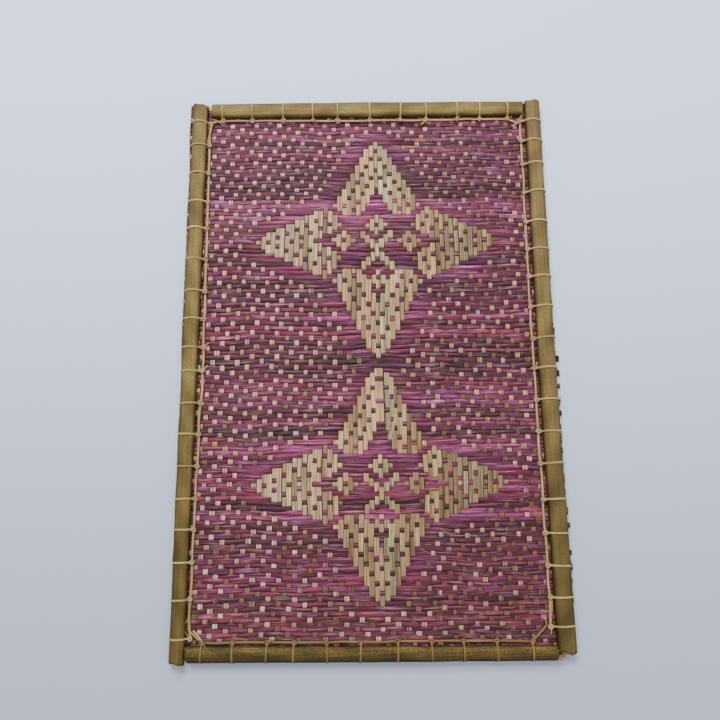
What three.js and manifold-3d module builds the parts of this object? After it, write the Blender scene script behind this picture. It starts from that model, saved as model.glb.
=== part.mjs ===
// Woven straw table mat with a frame of four split canes laced to its border.
// Millimetres, +Z up, +Y along the mat. The origin lies on the table under the middle of the frame.
// The sheet is one solid with its weft rows raised as ribs. Each cane lies on the border, and each
// lacing is a running strand with a knot and a closed wrap at every stitch, fused into one body.

import * as THREE from 'three';
import { mergeVertices } from 'three/addons/utils/BufferGeometryUtils.js';
import Module from 'manifold-3d';

const library = await Module();
library.setup();

// The woven sheet: its two ends, its mean side edges, its thickness and the relief of its rows
const MAT = { back: 225.8, front: -224.2, left: -149.7, right: 150.1, thickness: 2.2 };
const ROWS = { count: 124, groove: 0.4, uneven: 0.16 };

// How far the edges lean and wander, because the sheet is cut by eye
const EDGES = {
  left: { lean: -0.2, wander: 0.35 },
  right: { lean: -0.75, wander: 0.4 },
  front: { lean: 2.6 },
};

// Free space between neighbouring pieces
const CLEARANCE = 0.3;

// The split canes: flat underneath, square sides, then a low round crown
const CANE = { sideHeight: 2, crownHeight: 4, steps: 12, crownFacets: 4 };
const CANE_BASE = MAT.thickness + CLEARANCE;

// Each cane's centre line and width at three places along it, and how its ends are cut
const CANES = [
  {
    side: 'left', runs: 'y', slantStart: 1.2, slantEnd: 0.9,
    sections: [
      { at: -226, centre: -144.7, width: 11 },
      { at: 0, centre: -143.25, width: 12.5 },
      { at: 226, centre: -141.9, width: 12.7 },
    ],
  },
  {
    side: 'right', runs: 'y', slantStart: -0.8, slantEnd: 1.4,
    sections: [
      { at: -221.3, centre: 143.1, width: 14 },
      { at: 0, centre: 141.95, width: 13.5 },
      { at: 227.3, centre: 143.4, width: 12.8 },
    ],
  },
  {
    side: 'back', runs: 'x', slantStart: 0.5, slantEnd: 0.4,
    sections: [
      { at: -131.7, centre: 219.7, width: 12 },
      { at: 0, centre: 220, width: 13 },
      { at: 134.5, centre: 219.9, width: 12 },
    ],
  },
  {
    side: 'front', runs: 'x', slantStart: 0.8, slantEnd: -0.3,
    sections: [
      { at: -137.6, centre: -219.8, width: 11.5 },
      { at: 0, centre: -221, width: 11 },
      { at: 135.2, centre: -221.5, width: 10.5 },
    ],
  },
];

// The lacing cane: a flat running strand, narrower wraps and small knots
const STRAND = { width: 2.2, thickness: 1 };
const WRAP = { width: 1.7, thickness: 0.9, underside: 0.1 };
const KNOT = { radius: 1.9, halfHeight: 1.05, strandPastIt: 1.3 };
const STRAND_LEVEL = MAT.thickness + CLEARANCE + STRAND.thickness / 2;
const KNOT_LEVEL = MAT.thickness + CLEARANCE + KNOT.halfHeight;

// For each side: the stitches along it, the line that its strand keeps, and the run-outs at its ends
const LACINGS = [
  {
    side: 'left', runs: 'y', outward: [-1, 0],
    stitches: [208.4, 187.7, 162.5, 136.8, 113.1, 86, 59.3, 35.6, 11.9, -7.3, -33, -57.7, -82.4, -107.1,
      -130.3, -154.4, -181.1, -208.7],
    line: [
      { at: 210, offset: -132.8 }, { at: 187, offset: -133.7 }, { at: 0, offset: -133.1 },
      { at: -100, offset: -135 }, { at: -181, offset: -136.5 }, { at: -210, offset: -135.4 },
    ],
    runOuts: [[[-135.8, -204], [-128.6, -210.2]]],
  },
  {
    side: 'right', runs: 'y', outward: [1, 0],
    stitches: [208.4, 190.1, 168.4, 142.7, 116.6, 92.4, 68.7, 43, 16.4, -7.8, -33, -58.2, -83.4, -110.5,
      -135.7, -159.4, -182.6, -203.3],
    line: [
      { at: 210, offset: 133 }, { at: 187, offset: 132.4 }, { at: 0, offset: 131.7 },
      { at: -100, offset: 132.2 }, { at: -182, offset: 133.1 }, { at: -205, offset: 132 },
    ],
    runOuts: [],
  },
  {
    side: 'back', runs: 'x', outward: [0, 1],
    stitches: [-123, -97.4, -70.7, -45.5, -24.3, 3.3, 29.5, 51.7, 78.4, 97.6, 121.5],
    line: [{ at: -124, offset: 211.2 }, { at: 3, offset: 210.8 }, { at: 122, offset: 211 }],
    runOuts: [[[-123, 211.2], [-130.2, 209.8]], [[121.5, 211], [129.9, 207.2]]],
  },
  {
    side: 'front', runs: 'x', outward: [0, -1],
    stitches: [-126.5, -103.8, -78.1, -58.4, -34.2, -9, 18.6, 43.3, 67, 91.7, 117.8],
    line: [
      { at: -127, offset: -212 }, { at: -104, offset: -212 }, { at: -20, offset: -213 },
      { at: 18, offset: -212.4 }, { at: 92, offset: -212.8 }, { at: 118, offset: -213.8 },
    ],
    runOuts: [[[117.8, -213.8], [129.3, -202.6]]],
  },
];

// Finishes
const FINISHES = {
  straw: { color: 0x84486f, roughness: 0.62, metalness: 0 },
  cane: { color: 0x8f8050, roughness: 0.5, metalness: 0 },
  brownCane: { color: 0x80683a, roughness: 0.5, metalness: 0 },
  lacing: { color: 0xcdb384, roughness: 0.55, metalness: 0 },
};

// A polyline that an extrusion follows with exactly one ring at each of its points
class Route extends THREE.Curve {
  constructor(points) {
    super();
    this.points = points;
  }

  get steps() {
    return this.points.length - 1;
  }

  getPoint(t, target = new THREE.Vector3()) {
    const place = THREE.MathUtils.clamp(t, 0, 1) * this.steps;
    const index = Math.min(Math.floor(place), this.steps - 1);
    return target.lerpVectors(this.points[index], this.points[index + 1], place - index);
  }

  getPointAt(u, target) {
    return this.getPoint(u, target);
  }

  getTangentAt(u, target) {
    return this.getTangent(u, target);
  }
}

// A column of a table read at any place between its rows
function readTable(rows, at, column) {
  const ordered = [...rows].sort((a, b) => a.at - b.at);
  const place = THREE.MathUtils.clamp(at, ordered[0].at, ordered[ordered.length - 1].at);
  const next = Math.max(1, ordered.findIndex((row) => row.at >= place));
  const low = ordered[next - 1];
  const high = ordered[next];
  return THREE.MathUtils.mapLinear(place, low.at, high.at, low[column], high[column]);
}

function toSolid(geometry) {
  geometry.deleteAttribute('normal');
  geometry.deleteAttribute('uv');
  const merged = mergeVertices(geometry, 1e-4);
  return new library.Manifold(new library.Mesh({
    numProp: 3,
    vertProperties: new Float32Array(merged.attributes.position.array),
    triVerts: new Uint32Array(merged.index.array),
  }));
}

function toGeometry(solid) {
  const mesh = solid.getMesh();
  const geometry = new THREE.BufferGeometry();
  geometry.setAttribute('position', new THREE.BufferAttribute(new Float32Array(mesh.vertProperties), 3));
  geometry.setIndex(new THREE.BufferAttribute(new Uint32Array(mesh.triVerts), 1));
  geometry.computeVertexNormals();
  return geometry;
}

function rectangle(width, height) {
  const shape = new THREE.Shape();
  shape.moveTo(-width / 2, -height / 2);
  shape.lineTo(width / 2, -height / 2);
  shape.lineTo(width / 2, height / 2);
  shape.lineTo(-width / 2, height / 2);
  return shape;
}

// The sheet's lengthwise section: a flat underside, and one low ridge for each weft row
function rowProfile() {
  const pitch = (MAT.back - MAT.front) / ROWS.count;
  const valleyAt = (row) => {
    const inside = row > 0 && row < ROWS.count;
    return MAT.front + pitch * (row + (inside ? ROWS.uneven * Math.sin(2.4 * row) : 0));
  };
  const valley = MAT.thickness - ROWS.groove;
  const shape = new THREE.Shape();
  shape.moveTo(MAT.front, 0);
  shape.lineTo(MAT.back, 0);
  shape.lineTo(MAT.back, valley);
  for (let row = ROWS.count - 1; row >= 0; row -= 1) {
    shape.lineTo((valleyAt(row) + valleyAt(row + 1)) / 2, MAT.thickness);
    shape.lineTo(valleyAt(row), valley);
  }
  return shape;
}

// The sheet's outline from above: a straight back, a leaning front, and side edges that wander row by row
function rowOutline() {
  const places = Array.from({ length: ROWS.count + 1 }, (_, row) => (
    MAT.front + ((MAT.back - MAT.front) * row) / ROWS.count
  ));
  const edgeAt = (side, y) => {
    const { lean, wander } = EDGES[side];
    return MAT[side] + lean * (y / MAT.back) + wander * (0.6 * Math.sin(y / 6.1) + 0.4 * Math.sin(y / 2.3 + 1));
  };
  const right = places.map((y) => new THREE.Vector2(edgeAt('right', y), y));
  const left = places.map((y) => new THREE.Vector2(edgeAt('left', y), y));
  right[0].y += EDGES.front.lean;
  return new THREE.Shape([...right, ...left.reverse()]);
}

// The path of one wrap in its own upright plane, x outward from the strand line and y up:
// out of the knot, over the cane, down outside it, back under the sheet and up through it
function wrapRoute(inner, outer) {
  const offset = CLEARANCE + WRAP.thickness / 2 + 0.1;
  const centre = (inner + outer) / 2;
  const shoulder = CANE_BASE + CANE.sideHeight;
  const under = WRAP.underside + WRAP.thickness / 2;
  const crown = [150, 115, 90, 65, 30].map((degrees) => {
    const angle = THREE.MathUtils.degToRad(degrees);
    return new THREE.Vector3(
      centre + ((outer - inner) / 2 + offset) * Math.cos(angle),
      shoulder + (CANE.crownHeight + offset) * Math.sin(angle),
      0,
    );
  });
  return new Route([
    new THREE.Vector3(0, KNOT_LEVEL - 0.3, 0),
    new THREE.Vector3(inner - offset - 0.1, KNOT_LEVEL + 0.1, 0),
    ...crown,
    new THREE.Vector3(outer + offset, shoulder - 0.8, 0),
    new THREE.Vector3(outer + offset, under + 0.8, 0),
    new THREE.Vector3(outer + offset - 0.8, under, 0),
    new THREE.Vector3(0.9, under, 0),
    new THREE.Vector3(0, under + 0.8, 0),
    new THREE.Vector3(0, KNOT_LEVEL - 0.3, 0),
  ]);
}

// The way that a wrap takes through the sheet: a stitch hole, a channel under it and a nick in its edge
function stitchCut(outer) {
  const room = WRAP.thickness / 2 + CLEARANCE + 0.1;
  const top = MAT.thickness + 1;
  const bottom = -1;
  const roof = WRAP.underside + WRAP.thickness + CLEARANCE;
  const nick = outer + 0.1;
  const beyond = outer + 8;
  const shape = new THREE.Shape();
  shape.moveTo(-room, bottom);
  shape.lineTo(beyond, bottom);
  shape.lineTo(beyond, top);
  shape.lineTo(nick, top);
  shape.lineTo(nick, roof);
  shape.lineTo(room, roof);
  shape.lineTo(room, top);
  shape.lineTo(-room, top);
  const width = WRAP.width + 2 * CLEARANCE + 0.1;
  const geometry = new THREE.ExtrudeGeometry(shape, { depth: width, bevelEnabled: false });
  return geometry.translate(0, 0, -width / 2);
}

// Where each stitch of a side stands, which way it faces, and the cane's two edges seen from it
function stitchPlaces(lacing) {
  const cane = CANES.find((row) => row.side === lacing.side);
  const out = new THREE.Vector3(lacing.outward[0], lacing.outward[1], 0);
  const up = new THREE.Vector3(0, 0, 1);
  const along = new THREE.Vector3().crossVectors(out, up);
  return lacing.stitches.map((at) => {
    const offset = readTable(lacing.line, at, 'offset');
    const caneDistance = Math.abs(readTable(cane.sections, at, 'centre')) - Math.abs(offset);
    const halfWidth = readTable(cane.sections, at, 'width') / 2;
    const frame = new THREE.Matrix4().makeBasis(out, up, along);
    frame.setPosition(...(lacing.runs === 'y' ? [offset, at, 0] : [at, offset, 0]));
    return { frame, inner: caneDistance - halfWidth, outer: caneDistance + halfWidth };
  });
}

function buildMat() {
  const spare = 3;
  const ribbed = new THREE.ExtrudeGeometry(rowProfile(), {
    depth: MAT.right - MAT.left + 2 * spare,
    bevelEnabled: false,
  });
  ribbed.applyMatrix4(new THREE.Matrix4().makeBasis(
    new THREE.Vector3(0, 1, 0),
    new THREE.Vector3(0, 0, 1),
    new THREE.Vector3(1, 0, 0),
  ));
  ribbed.translate(MAT.left - spare, 0, 0);
  const outline = new THREE.ExtrudeGeometry(rowOutline(), { depth: 3 * MAT.thickness, bevelEnabled: false });
  outline.translate(0, 0, -MAT.thickness);
  let solid = toSolid(ribbed).intersect(toSolid(outline));
  for (const lacing of LACINGS) {
    for (const place of stitchPlaces(lacing)) {
      solid = solid.subtract(toSolid(stitchCut(place.outer).applyMatrix4(place.frame)));
    }
  }
  return toGeometry(solid);
}

function buildCane(cane) {
  const first = cane.sections[0].at;
  const last = cane.sections[cane.sections.length - 1].at;
  const section = new THREE.Shape();
  section.moveTo(-1, 0);
  section.lineTo(1, 0);
  section.lineTo(1, CANE.sideHeight);
  section.absellipse(0, CANE.sideHeight, 1, CANE.crownHeight, 0, Math.PI);
  const geometry = new THREE.ExtrudeGeometry(section, {
    depth: last - first,
    steps: CANE.steps,
    curveSegments: CANE.crownFacets,
    bevelEnabled: false,
  });
  const position = geometry.attributes.position;
  for (let i = 0; i < position.count; i += 1) {
    const across = position.getX(i);
    const depth = position.getZ(i);
    const even = cane.runs === 'x' ? first + depth : last - depth;
    const centre = readTable(cane.sections, even, 'centre');
    const side = centre + (across * readTable(cane.sections, even, 'width')) / 2;
    const tolerance = 0.01;
    const startCut = even < first + tolerance ? (cane.slantStart * across) / 2 : 0;
    const endCut = even > last - tolerance ? (cane.slantEnd * across) / 2 : 0;
    const at = even + startCut + endCut;
    const height = CANE_BASE + position.getY(i);
    position.setXYZ(i, ...(cane.runs === 'x' ? [at, side, height] : [side, at, height]));
  }
  return toGeometry(toSolid(geometry));
}

function buildStrand(points) {
  const route = new Route(points.map(([x, y]) => new THREE.Vector3(x, y, STRAND_LEVEL)));
  return toSolid(new THREE.ExtrudeGeometry(rectangle(STRAND.thickness, STRAND.width), {
    steps: route.steps,
    extrudePath: route,
    bevelEnabled: false,
  }));
}

function buildLacing(lacing) {
  const firstStitch = lacing.stitches[0];
  const lastStitch = lacing.stitches[lacing.stitches.length - 1];
  const pastIt = KNOT.strandPastIt * Math.sign(lastStitch - firstStitch);
  const linePoints = [firstStitch - pastIt, ...lacing.stitches, lastStitch + pastIt].map((at) => {
    const offset = readTable(lacing.line, at, 'offset');
    return lacing.runs === 'y' ? [offset, at] : [at, offset];
  });
  let solid = buildStrand(linePoints);
  for (const runOut of lacing.runOuts) {
    solid = solid.add(buildStrand(runOut));
  }
  for (const { frame, inner, outer } of stitchPlaces(lacing)) {
    const route = wrapRoute(inner, outer);
    const wrap = new THREE.ExtrudeGeometry(rectangle(WRAP.width, WRAP.thickness), {
      steps: route.steps,
      extrudePath: route,
      bevelEnabled: false,
    });
    const knot = new THREE.IcosahedronGeometry(1, 0).scale(KNOT.radius, KNOT.halfHeight, KNOT.radius);
    knot.translate(0, KNOT_LEVEL, 0);
    solid = solid.add(toSolid(wrap.applyMatrix4(frame)));
    solid = solid.add(toSolid(knot.applyMatrix4(frame)));
  }
  return toGeometry(solid);
}

function named(name, geometry, finish) {
  const mesh = new THREE.Mesh(geometry, new THREE.MeshStandardMaterial(finish));
  mesh.name = name;
  return mesh;
}

const placemat = new THREE.Group();
placemat.add(named('mat', buildMat(), FINISHES.straw));
for (const cane of CANES) {
  const finish = cane.side === 'front' ? FINISHES.brownCane : FINISHES.cane;
  placemat.add(named(`cane_${cane.side}`, buildCane(cane), finish));
}
for (const lacing of LACINGS) {
  placemat.add(named(`lacing_${lacing.side}`, buildLacing(lacing), FINISHES.lacing));
}

export default placemat;
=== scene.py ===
"""Woven straw table mat with a frame of four split canes that are laced on with a pale strand.

The weave is built strip by strip: every dyed weft and every natural warp passes over and under the
others as the chart of the two stars says. Lengths in this file are millimetres until a mesh is made.
"""

from __future__ import annotations

import logging
from dataclasses import dataclass, field
from enum import Enum

import bpy
import numpy as np
from mathutils import Matrix, Vector

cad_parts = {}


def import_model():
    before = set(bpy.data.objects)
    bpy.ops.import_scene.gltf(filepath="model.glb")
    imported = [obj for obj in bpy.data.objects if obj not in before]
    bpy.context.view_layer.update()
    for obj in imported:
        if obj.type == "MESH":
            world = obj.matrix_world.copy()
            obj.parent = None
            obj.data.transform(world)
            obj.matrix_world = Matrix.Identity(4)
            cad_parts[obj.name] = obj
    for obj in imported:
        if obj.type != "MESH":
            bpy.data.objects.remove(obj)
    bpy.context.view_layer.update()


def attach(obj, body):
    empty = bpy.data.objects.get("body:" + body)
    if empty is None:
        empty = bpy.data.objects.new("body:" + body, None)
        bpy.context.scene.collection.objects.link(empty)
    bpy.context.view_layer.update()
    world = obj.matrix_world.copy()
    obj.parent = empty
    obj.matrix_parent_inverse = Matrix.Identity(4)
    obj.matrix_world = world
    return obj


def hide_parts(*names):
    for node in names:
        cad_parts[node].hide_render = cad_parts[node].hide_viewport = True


LOG = logging.getLogger("table_mat")
MM = 0.001
UP = np.array([0.0, 0.0, 1.0])


def linear(red: float, green: float, blue: float) -> np.ndarray:
    """Returns a screen colour, 0 to 255, as linear light by the usual curve, close to a power of 2.2."""
    screen = np.array([red, green, blue], float) / 255.0
    return np.where(screen <= 0.04045, screen / 12.92, ((screen + 0.055) / 1.055) ** 2.4)


def ramp(value: np.ndarray, start: float, stop: float) -> np.ndarray:
    """Returns 0 before start, 1 after stop and a smooth step between them: 3 t squared less 2 t cubed."""
    place = np.clip((value - start) / (stop - start), 0.0, 1.0)
    return place * place * (3.0 - 2.0 * place)


@dataclass(frozen=True)
class Slope:
    """A smooth rise from 0 at start to height at stop."""

    start: float
    stop: float
    height: float = 1.0

    def at(self, place: np.ndarray) -> np.ndarray:
        """Returns the height times the ramp from start to stop."""
        return self.height * ramp(place, self.start, self.stop)


@dataclass(frozen=True)
class Bell:
    """A bell curve of a height about a centre."""

    centre: float
    breadth: float
    height: float = 1.0

    def at(self, place: np.ndarray) -> np.ndarray:
        """Returns the height times e to the power of minus the squared distance over the breadth."""
        return self.height * np.exp(-((place - self.centre) ** 2) / self.breadth)


def waves(
    source: np.random.Generator, place: np.ndarray, row: np.ndarray, lengths: tuple[float, ...], drift: float
) -> np.ndarray:
    """Returns a smooth random number of about -1 to 1 for each place on each row.

    It is a sum of sines of the given wave lengths, whose phase drifts slowly from row to row, so
    neighbouring rows wave together.

    Args:
        source: the seeded source of random numbers.
        place: places along the rows.
        row: row numbers, of a shape that can be combined with place.
        lengths: the wave lengths.
        drift: how far the phase turns from one row to the next, in radians.

    Returns:
        The numbers, in the combined shape.
    """
    total = np.zeros(np.broadcast(place, row).shape)
    for length in lengths:
        phase, turn = source.uniform(0.0, 2.0 * np.pi), source.uniform(-drift, drift)
        total = total + np.sin(2.0 * np.pi * place / length + phase + turn * row)
    return total / np.sqrt(len(lengths))


@dataclass(frozen=True)
class Ripple:
    """Smooth random waves along strips: their height, their lengths, and their change from row to row."""

    height: float
    lengths: tuple[float, ...]
    row_step: float
    drift: float = 3.0

    def draw(self, source: np.random.Generator, place: np.ndarray, row: np.ndarray) -> np.ndarray:
        """Returns the height times the waves."""
        return self.height * waves(source, place, self.row_step * row, self.lengths, self.drift)


class Shell:
    """Collects closed tubes, and builds them into one mesh with a shade and a lay for each point."""

    def __init__(self, name: str) -> None:
        """Starts an empty shell.

        Args:
            name: the name of the piece that it becomes.
        """
        self.name = name
        self.points: list[np.ndarray] = []
        self.shades: list[np.ndarray] = []
        self.lays: list[np.ndarray] = []
        self.faces: list[np.ndarray] = []
        self.smooth: list[np.ndarray] = []
        self.count = 0

    def add(self, grid: np.ndarray, shade: np.ndarray, lay: np.ndarray, crisp: tuple[int, ...] = ()) -> None:
        """Adds tubes whose rings run counter-clockwise as seen from the tube's far end.

        Args:
            grid: points as (tubes, stations, around, 3), in millimetres.
            shade: linear colour and edge darkness, which can be broadcast to (tubes, stations, around, 4).
            lay: the place along, the place across and the strip's own number, broadcast to
                (tubes, stations, around, 3).
            crisp: the sides of the section, by their first point, that meet their neighbours at a crease.
        """
        tubes, stations, around = grid.shape[:3]
        number = self.count + np.arange(tubes * stations * around).reshape(tubes, stations, around)
        turned = np.roll(number, -1, axis=2)
        sides = np.stack([number[:, :-1], turned[:, :-1], turned[:, 1:], number[:, 1:]], axis=-1)
        self.faces += [sides.reshape(-1, 4), number[:, 0, ::-1], number[:, -1]]
        soft = np.broadcast_to(~np.isin(np.arange(around), crisp), sides.shape[:3])
        self.smooth += [soft.ravel(), np.zeros(2 * tubes, bool)]
        self.points.append(grid.reshape(-1, 3))
        self.shades.append(np.broadcast_to(shade, (tubes, stations, around, 4)).reshape(-1, 4))
        self.lays.append(np.broadcast_to(lay, (tubes, stations, around, 3)).reshape(-1, 3))
        self.count += number.size

    def build(self, material: bpy.types.Material) -> bpy.types.Object:
        """Makes the mesh object.

        Args:
            material: the finish that it gets.

        Returns:
            The object, linked to the scene, with its place in its mesh.
        """
        mesh = bpy.data.meshes.new(self.name)
        points = np.concatenate(self.points) * MM
        starts = np.concatenate([np.full(len(block), block.shape[1]) for block in self.faces])
        mesh.vertices.add(len(points))
        mesh.vertices.foreach_set("co", points.astype(np.float32).ravel())
        corners = np.concatenate([block.ravel() for block in self.faces]).astype(np.int32)
        mesh.loops.add(len(corners))
        mesh.loops.foreach_set("vertex_index", corners)
        mesh.polygons.add(len(starts))
        mesh.polygons.foreach_set("loop_start", (np.cumsum(starts) - starts).astype(np.int32))
        mesh.update(calc_edges=True)
        shade = mesh.attributes.new("shade", "FLOAT_COLOR", "POINT")
        shade.data.foreach_set("color", np.concatenate(self.shades).astype(np.float32).ravel())
        lay = mesh.attributes.new("lay", "FLOAT_VECTOR", "POINT")
        lay.data.foreach_set("vector", np.concatenate(self.lays).astype(np.float32).ravel())
        mesh.polygons.foreach_set("use_smooth", np.concatenate(self.smooth))
        mesh.materials.append(material)
        piece = bpy.data.objects.new(self.name, mesh)
        bpy.context.scene.collection.objects.link(piece)
        return piece


def carried(path: np.ndarray, side: np.ndarray, outline: np.ndarray) -> np.ndarray:
    """Carries a section along paths.

    A point of the surface is the path's point, plus the section's first number along the side
    direction, plus its second number along the cross product of the path's direction and side.

    Args:
        path: points as (tubes, stations, 3).
        side: the section's first direction, broadcast to the path's shape.
        outline: the section's points, broadcast to (tubes, stations, around, 2).

    Returns:
        The grid as (tubes, stations, around, 3).
    """
    along = np.gradient(path, axis=1)
    along = along / np.maximum(np.linalg.norm(along, axis=-1, keepdims=True), 1e-9)
    side = np.broadcast_to(side, path.shape)
    side = side - along * np.sum(side * along, axis=-1, keepdims=True)
    side = side / np.maximum(np.linalg.norm(side, axis=-1, keepdims=True), 1e-9)
    rise = np.cross(along, side)
    return (
        path[:, :, None, :]
        + outline[..., 0:1] * side[:, :, None, :]
        + outline[..., 1:2] * rise[:, :, None, :]
    )


def eased(points: np.ndarray, count: int, passes: int = 3) -> np.ndarray:
    """Turns a few corner points into a smooth path.

    The corners are joined by straight lines, which are divided evenly by length. Each pass then
    moves every inner point to a quarter of each neighbour and half of itself.

    Args:
        points: the corners as (corners, 3).
        count: the number of points in the path.
        passes: how often it is smoothed.

    Returns:
        The path as (count, 3).
    """
    points = np.asarray(points, float)
    lengths = np.concatenate([[0.0], np.cumsum(np.linalg.norm(np.diff(points, axis=0), axis=1))])
    even = np.linspace(0.0, lengths[-1], count)
    path = np.stack([np.interp(even, lengths, points[:, axis]) for axis in range(3)], axis=1)
    for _ in range(passes):
        path[1:-1] = 0.25 * path[:-2] + 0.5 * path[1:-1] + 0.25 * path[2:]
    return path


def flat_section(width: float, thickness: float, around: int = 8) -> np.ndarray:
    """Works out a flat oval: powers of cosine and sine below 1 make its corners fuller.

    Args:
        width: its size across.
        thickness: its size upwards.
        around: the number of points.

    Returns:
        The points as (around, 2).
    """
    angle = 2.0 * np.pi * np.arange(around) / around + np.pi / around
    across = np.sign(np.cos(angle)) * np.abs(np.cos(angle)) ** 0.7
    upward = np.sign(np.sin(angle)) * np.abs(np.sin(angle)) ** 0.8
    return np.stack([across * width / 2.0, upward * thickness / 2.0], axis=1)


class Value:
    """A node's output that adds its own Math nodes when it stands in an expression."""

    def __init__(self, sheet: NodeSheet, socket: bpy.types.NodeSocket) -> None:
        """Wraps one output of the sheet."""
        self.sheet = sheet
        self.socket = socket

    def _with(self, operation: str, first: object, second: object) -> Value:
        """Returns the result of one Math node on two inputs."""
        return self.sheet.node("ShaderNodeMath", {"operation": operation}, {0: first, 1: second})

    def __add__(self, other: object) -> Value:
        """Returns the sum."""
        return self._with("ADD", self, other)

    def __sub__(self, other: object) -> Value:
        """Returns the difference."""
        return self._with("SUBTRACT", self, other)

    def __rsub__(self, other: object) -> Value:
        """Returns the difference, taken from the other."""
        return self._with("SUBTRACT", other, self)

    def __mul__(self, other: object) -> Value:
        """Returns the product."""
        return self._with("MULTIPLY", self, other)

    def __truediv__(self, other: object) -> Value:
        """Returns the quotient."""
        return self._with("DIVIDE", self, other)

    def __pow__(self, other: object) -> Value:
        """Returns the power."""
        return self._with("POWER", self, other)

    __radd__ = __add__
    __rmul__ = __mul__

    def at_least(self, low: float) -> Value:
        """Returns the larger of this and a number."""
        return self._with("MAXIMUM", self, low)

    def above(self, start: float, stop: float) -> Value:
        """Returns 0 below start, 1 above stop and a smooth step between them."""
        inputs = {"Value": self, "From Min": start, "From Max": stop}
        return self.sheet.node("ShaderNodeMapRange", {"interpolation_type": "SMOOTHSTEP"}, inputs)


class NodeSheet:
    """One material and the nodes on it."""

    def __init__(self, name: str) -> None:
        """Makes the material with its principled shader.

        Args:
            name: the material's name.
        """
        self.material = bpy.data.materials.new(name)
        self.material.use_nodes = True
        self.tree = self.material.node_tree
        self.skin = next(node for node in self.tree.nodes if node.type == "BSDF_PRINCIPLED")

    def node(self, kind: str, settings: dict, inputs: dict, output: int | str = 0) -> Value:
        """Adds a node.

        Args:
            kind: the node's type.
            settings: its own settings, which are set first.
            inputs: a value or a link for each named or numbered socket.
            output: the output that is wanted.

        Returns:
            That output.
        """
        made = self.tree.nodes.new(kind)
        for name, value in settings.items():
            setattr(made, name, value)
        for name, value in inputs.items():
            self.feed(made.inputs[name], value)
        return Value(self, made.outputs[output])

    def feed(self, socket: bpy.types.NodeSocket, value: object) -> None:
        """Links a wrapped output to a socket, or sets the socket to a plain value.

        Args:
            socket: the input that is fed.
            value: the wrapped output or the plain value.
        """
        if isinstance(value, Value):
            self.tree.links.new(value.socket, socket)
        else:
            socket.default_value = value

    def own(self, name: str, output: str) -> Value:
        """Returns an attribute of the piece."""
        return self.node("ShaderNodeAttribute", {"attribute_name": name}, {}, output)

    def noise(self, place: Value, detail: float = 3.0) -> Value:
        """Returns smooth noise of about 0 to 1 at a place."""
        return self.node("ShaderNodeTexNoise", {}, {"Vector": place, "Scale": 1.0, "Detail": detail})

    def place(self, along: object, across: object, own: object) -> Value:
        """Returns a point made of three numbers."""
        return self.node("ShaderNodeCombineXYZ", {}, {"X": along, "Y": across, "Z": own})

    def times(self, colour: Value, red: Value, green: Value, blue: Value) -> Value:
        """Returns a colour times a factor for each of red, green and blue."""
        factors = self.place(red, green, blue)
        return self.node("ShaderNodeVectorMath", {"operation": "MULTIPLY"}, {0: colour, 1: factors})

    def mixed(self, amount: Value, below: object, above: object) -> Value:
        """Returns a blend of two colours."""
        return self.node("ShaderNodeMix", {"data_type": "RGBA"}, {0: amount, 6: below, 7: above}, 2)


@dataclass(frozen=True)
class Grain:
    """A layer of noise along the fibres: how much longer and wider than a fibre, its seed and its detail."""

    longer: float
    wider: float
    seed: float
    detail: float


FINE_FIBRES = Grain(1.0, 1.0, 0.0, 4.0)
BROAD_PATCHES = Grain(2.5, 3.5, 17.0, 2.0)
STREAKS = Grain(1.6, 2.0, 53.0, 2.0)
GLINTS = Grain(0.7, 2.0, 91.0, 3.0)
HUE_STREAKS = Grain(0.6, 3.0, 123.0, 2.0)


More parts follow.
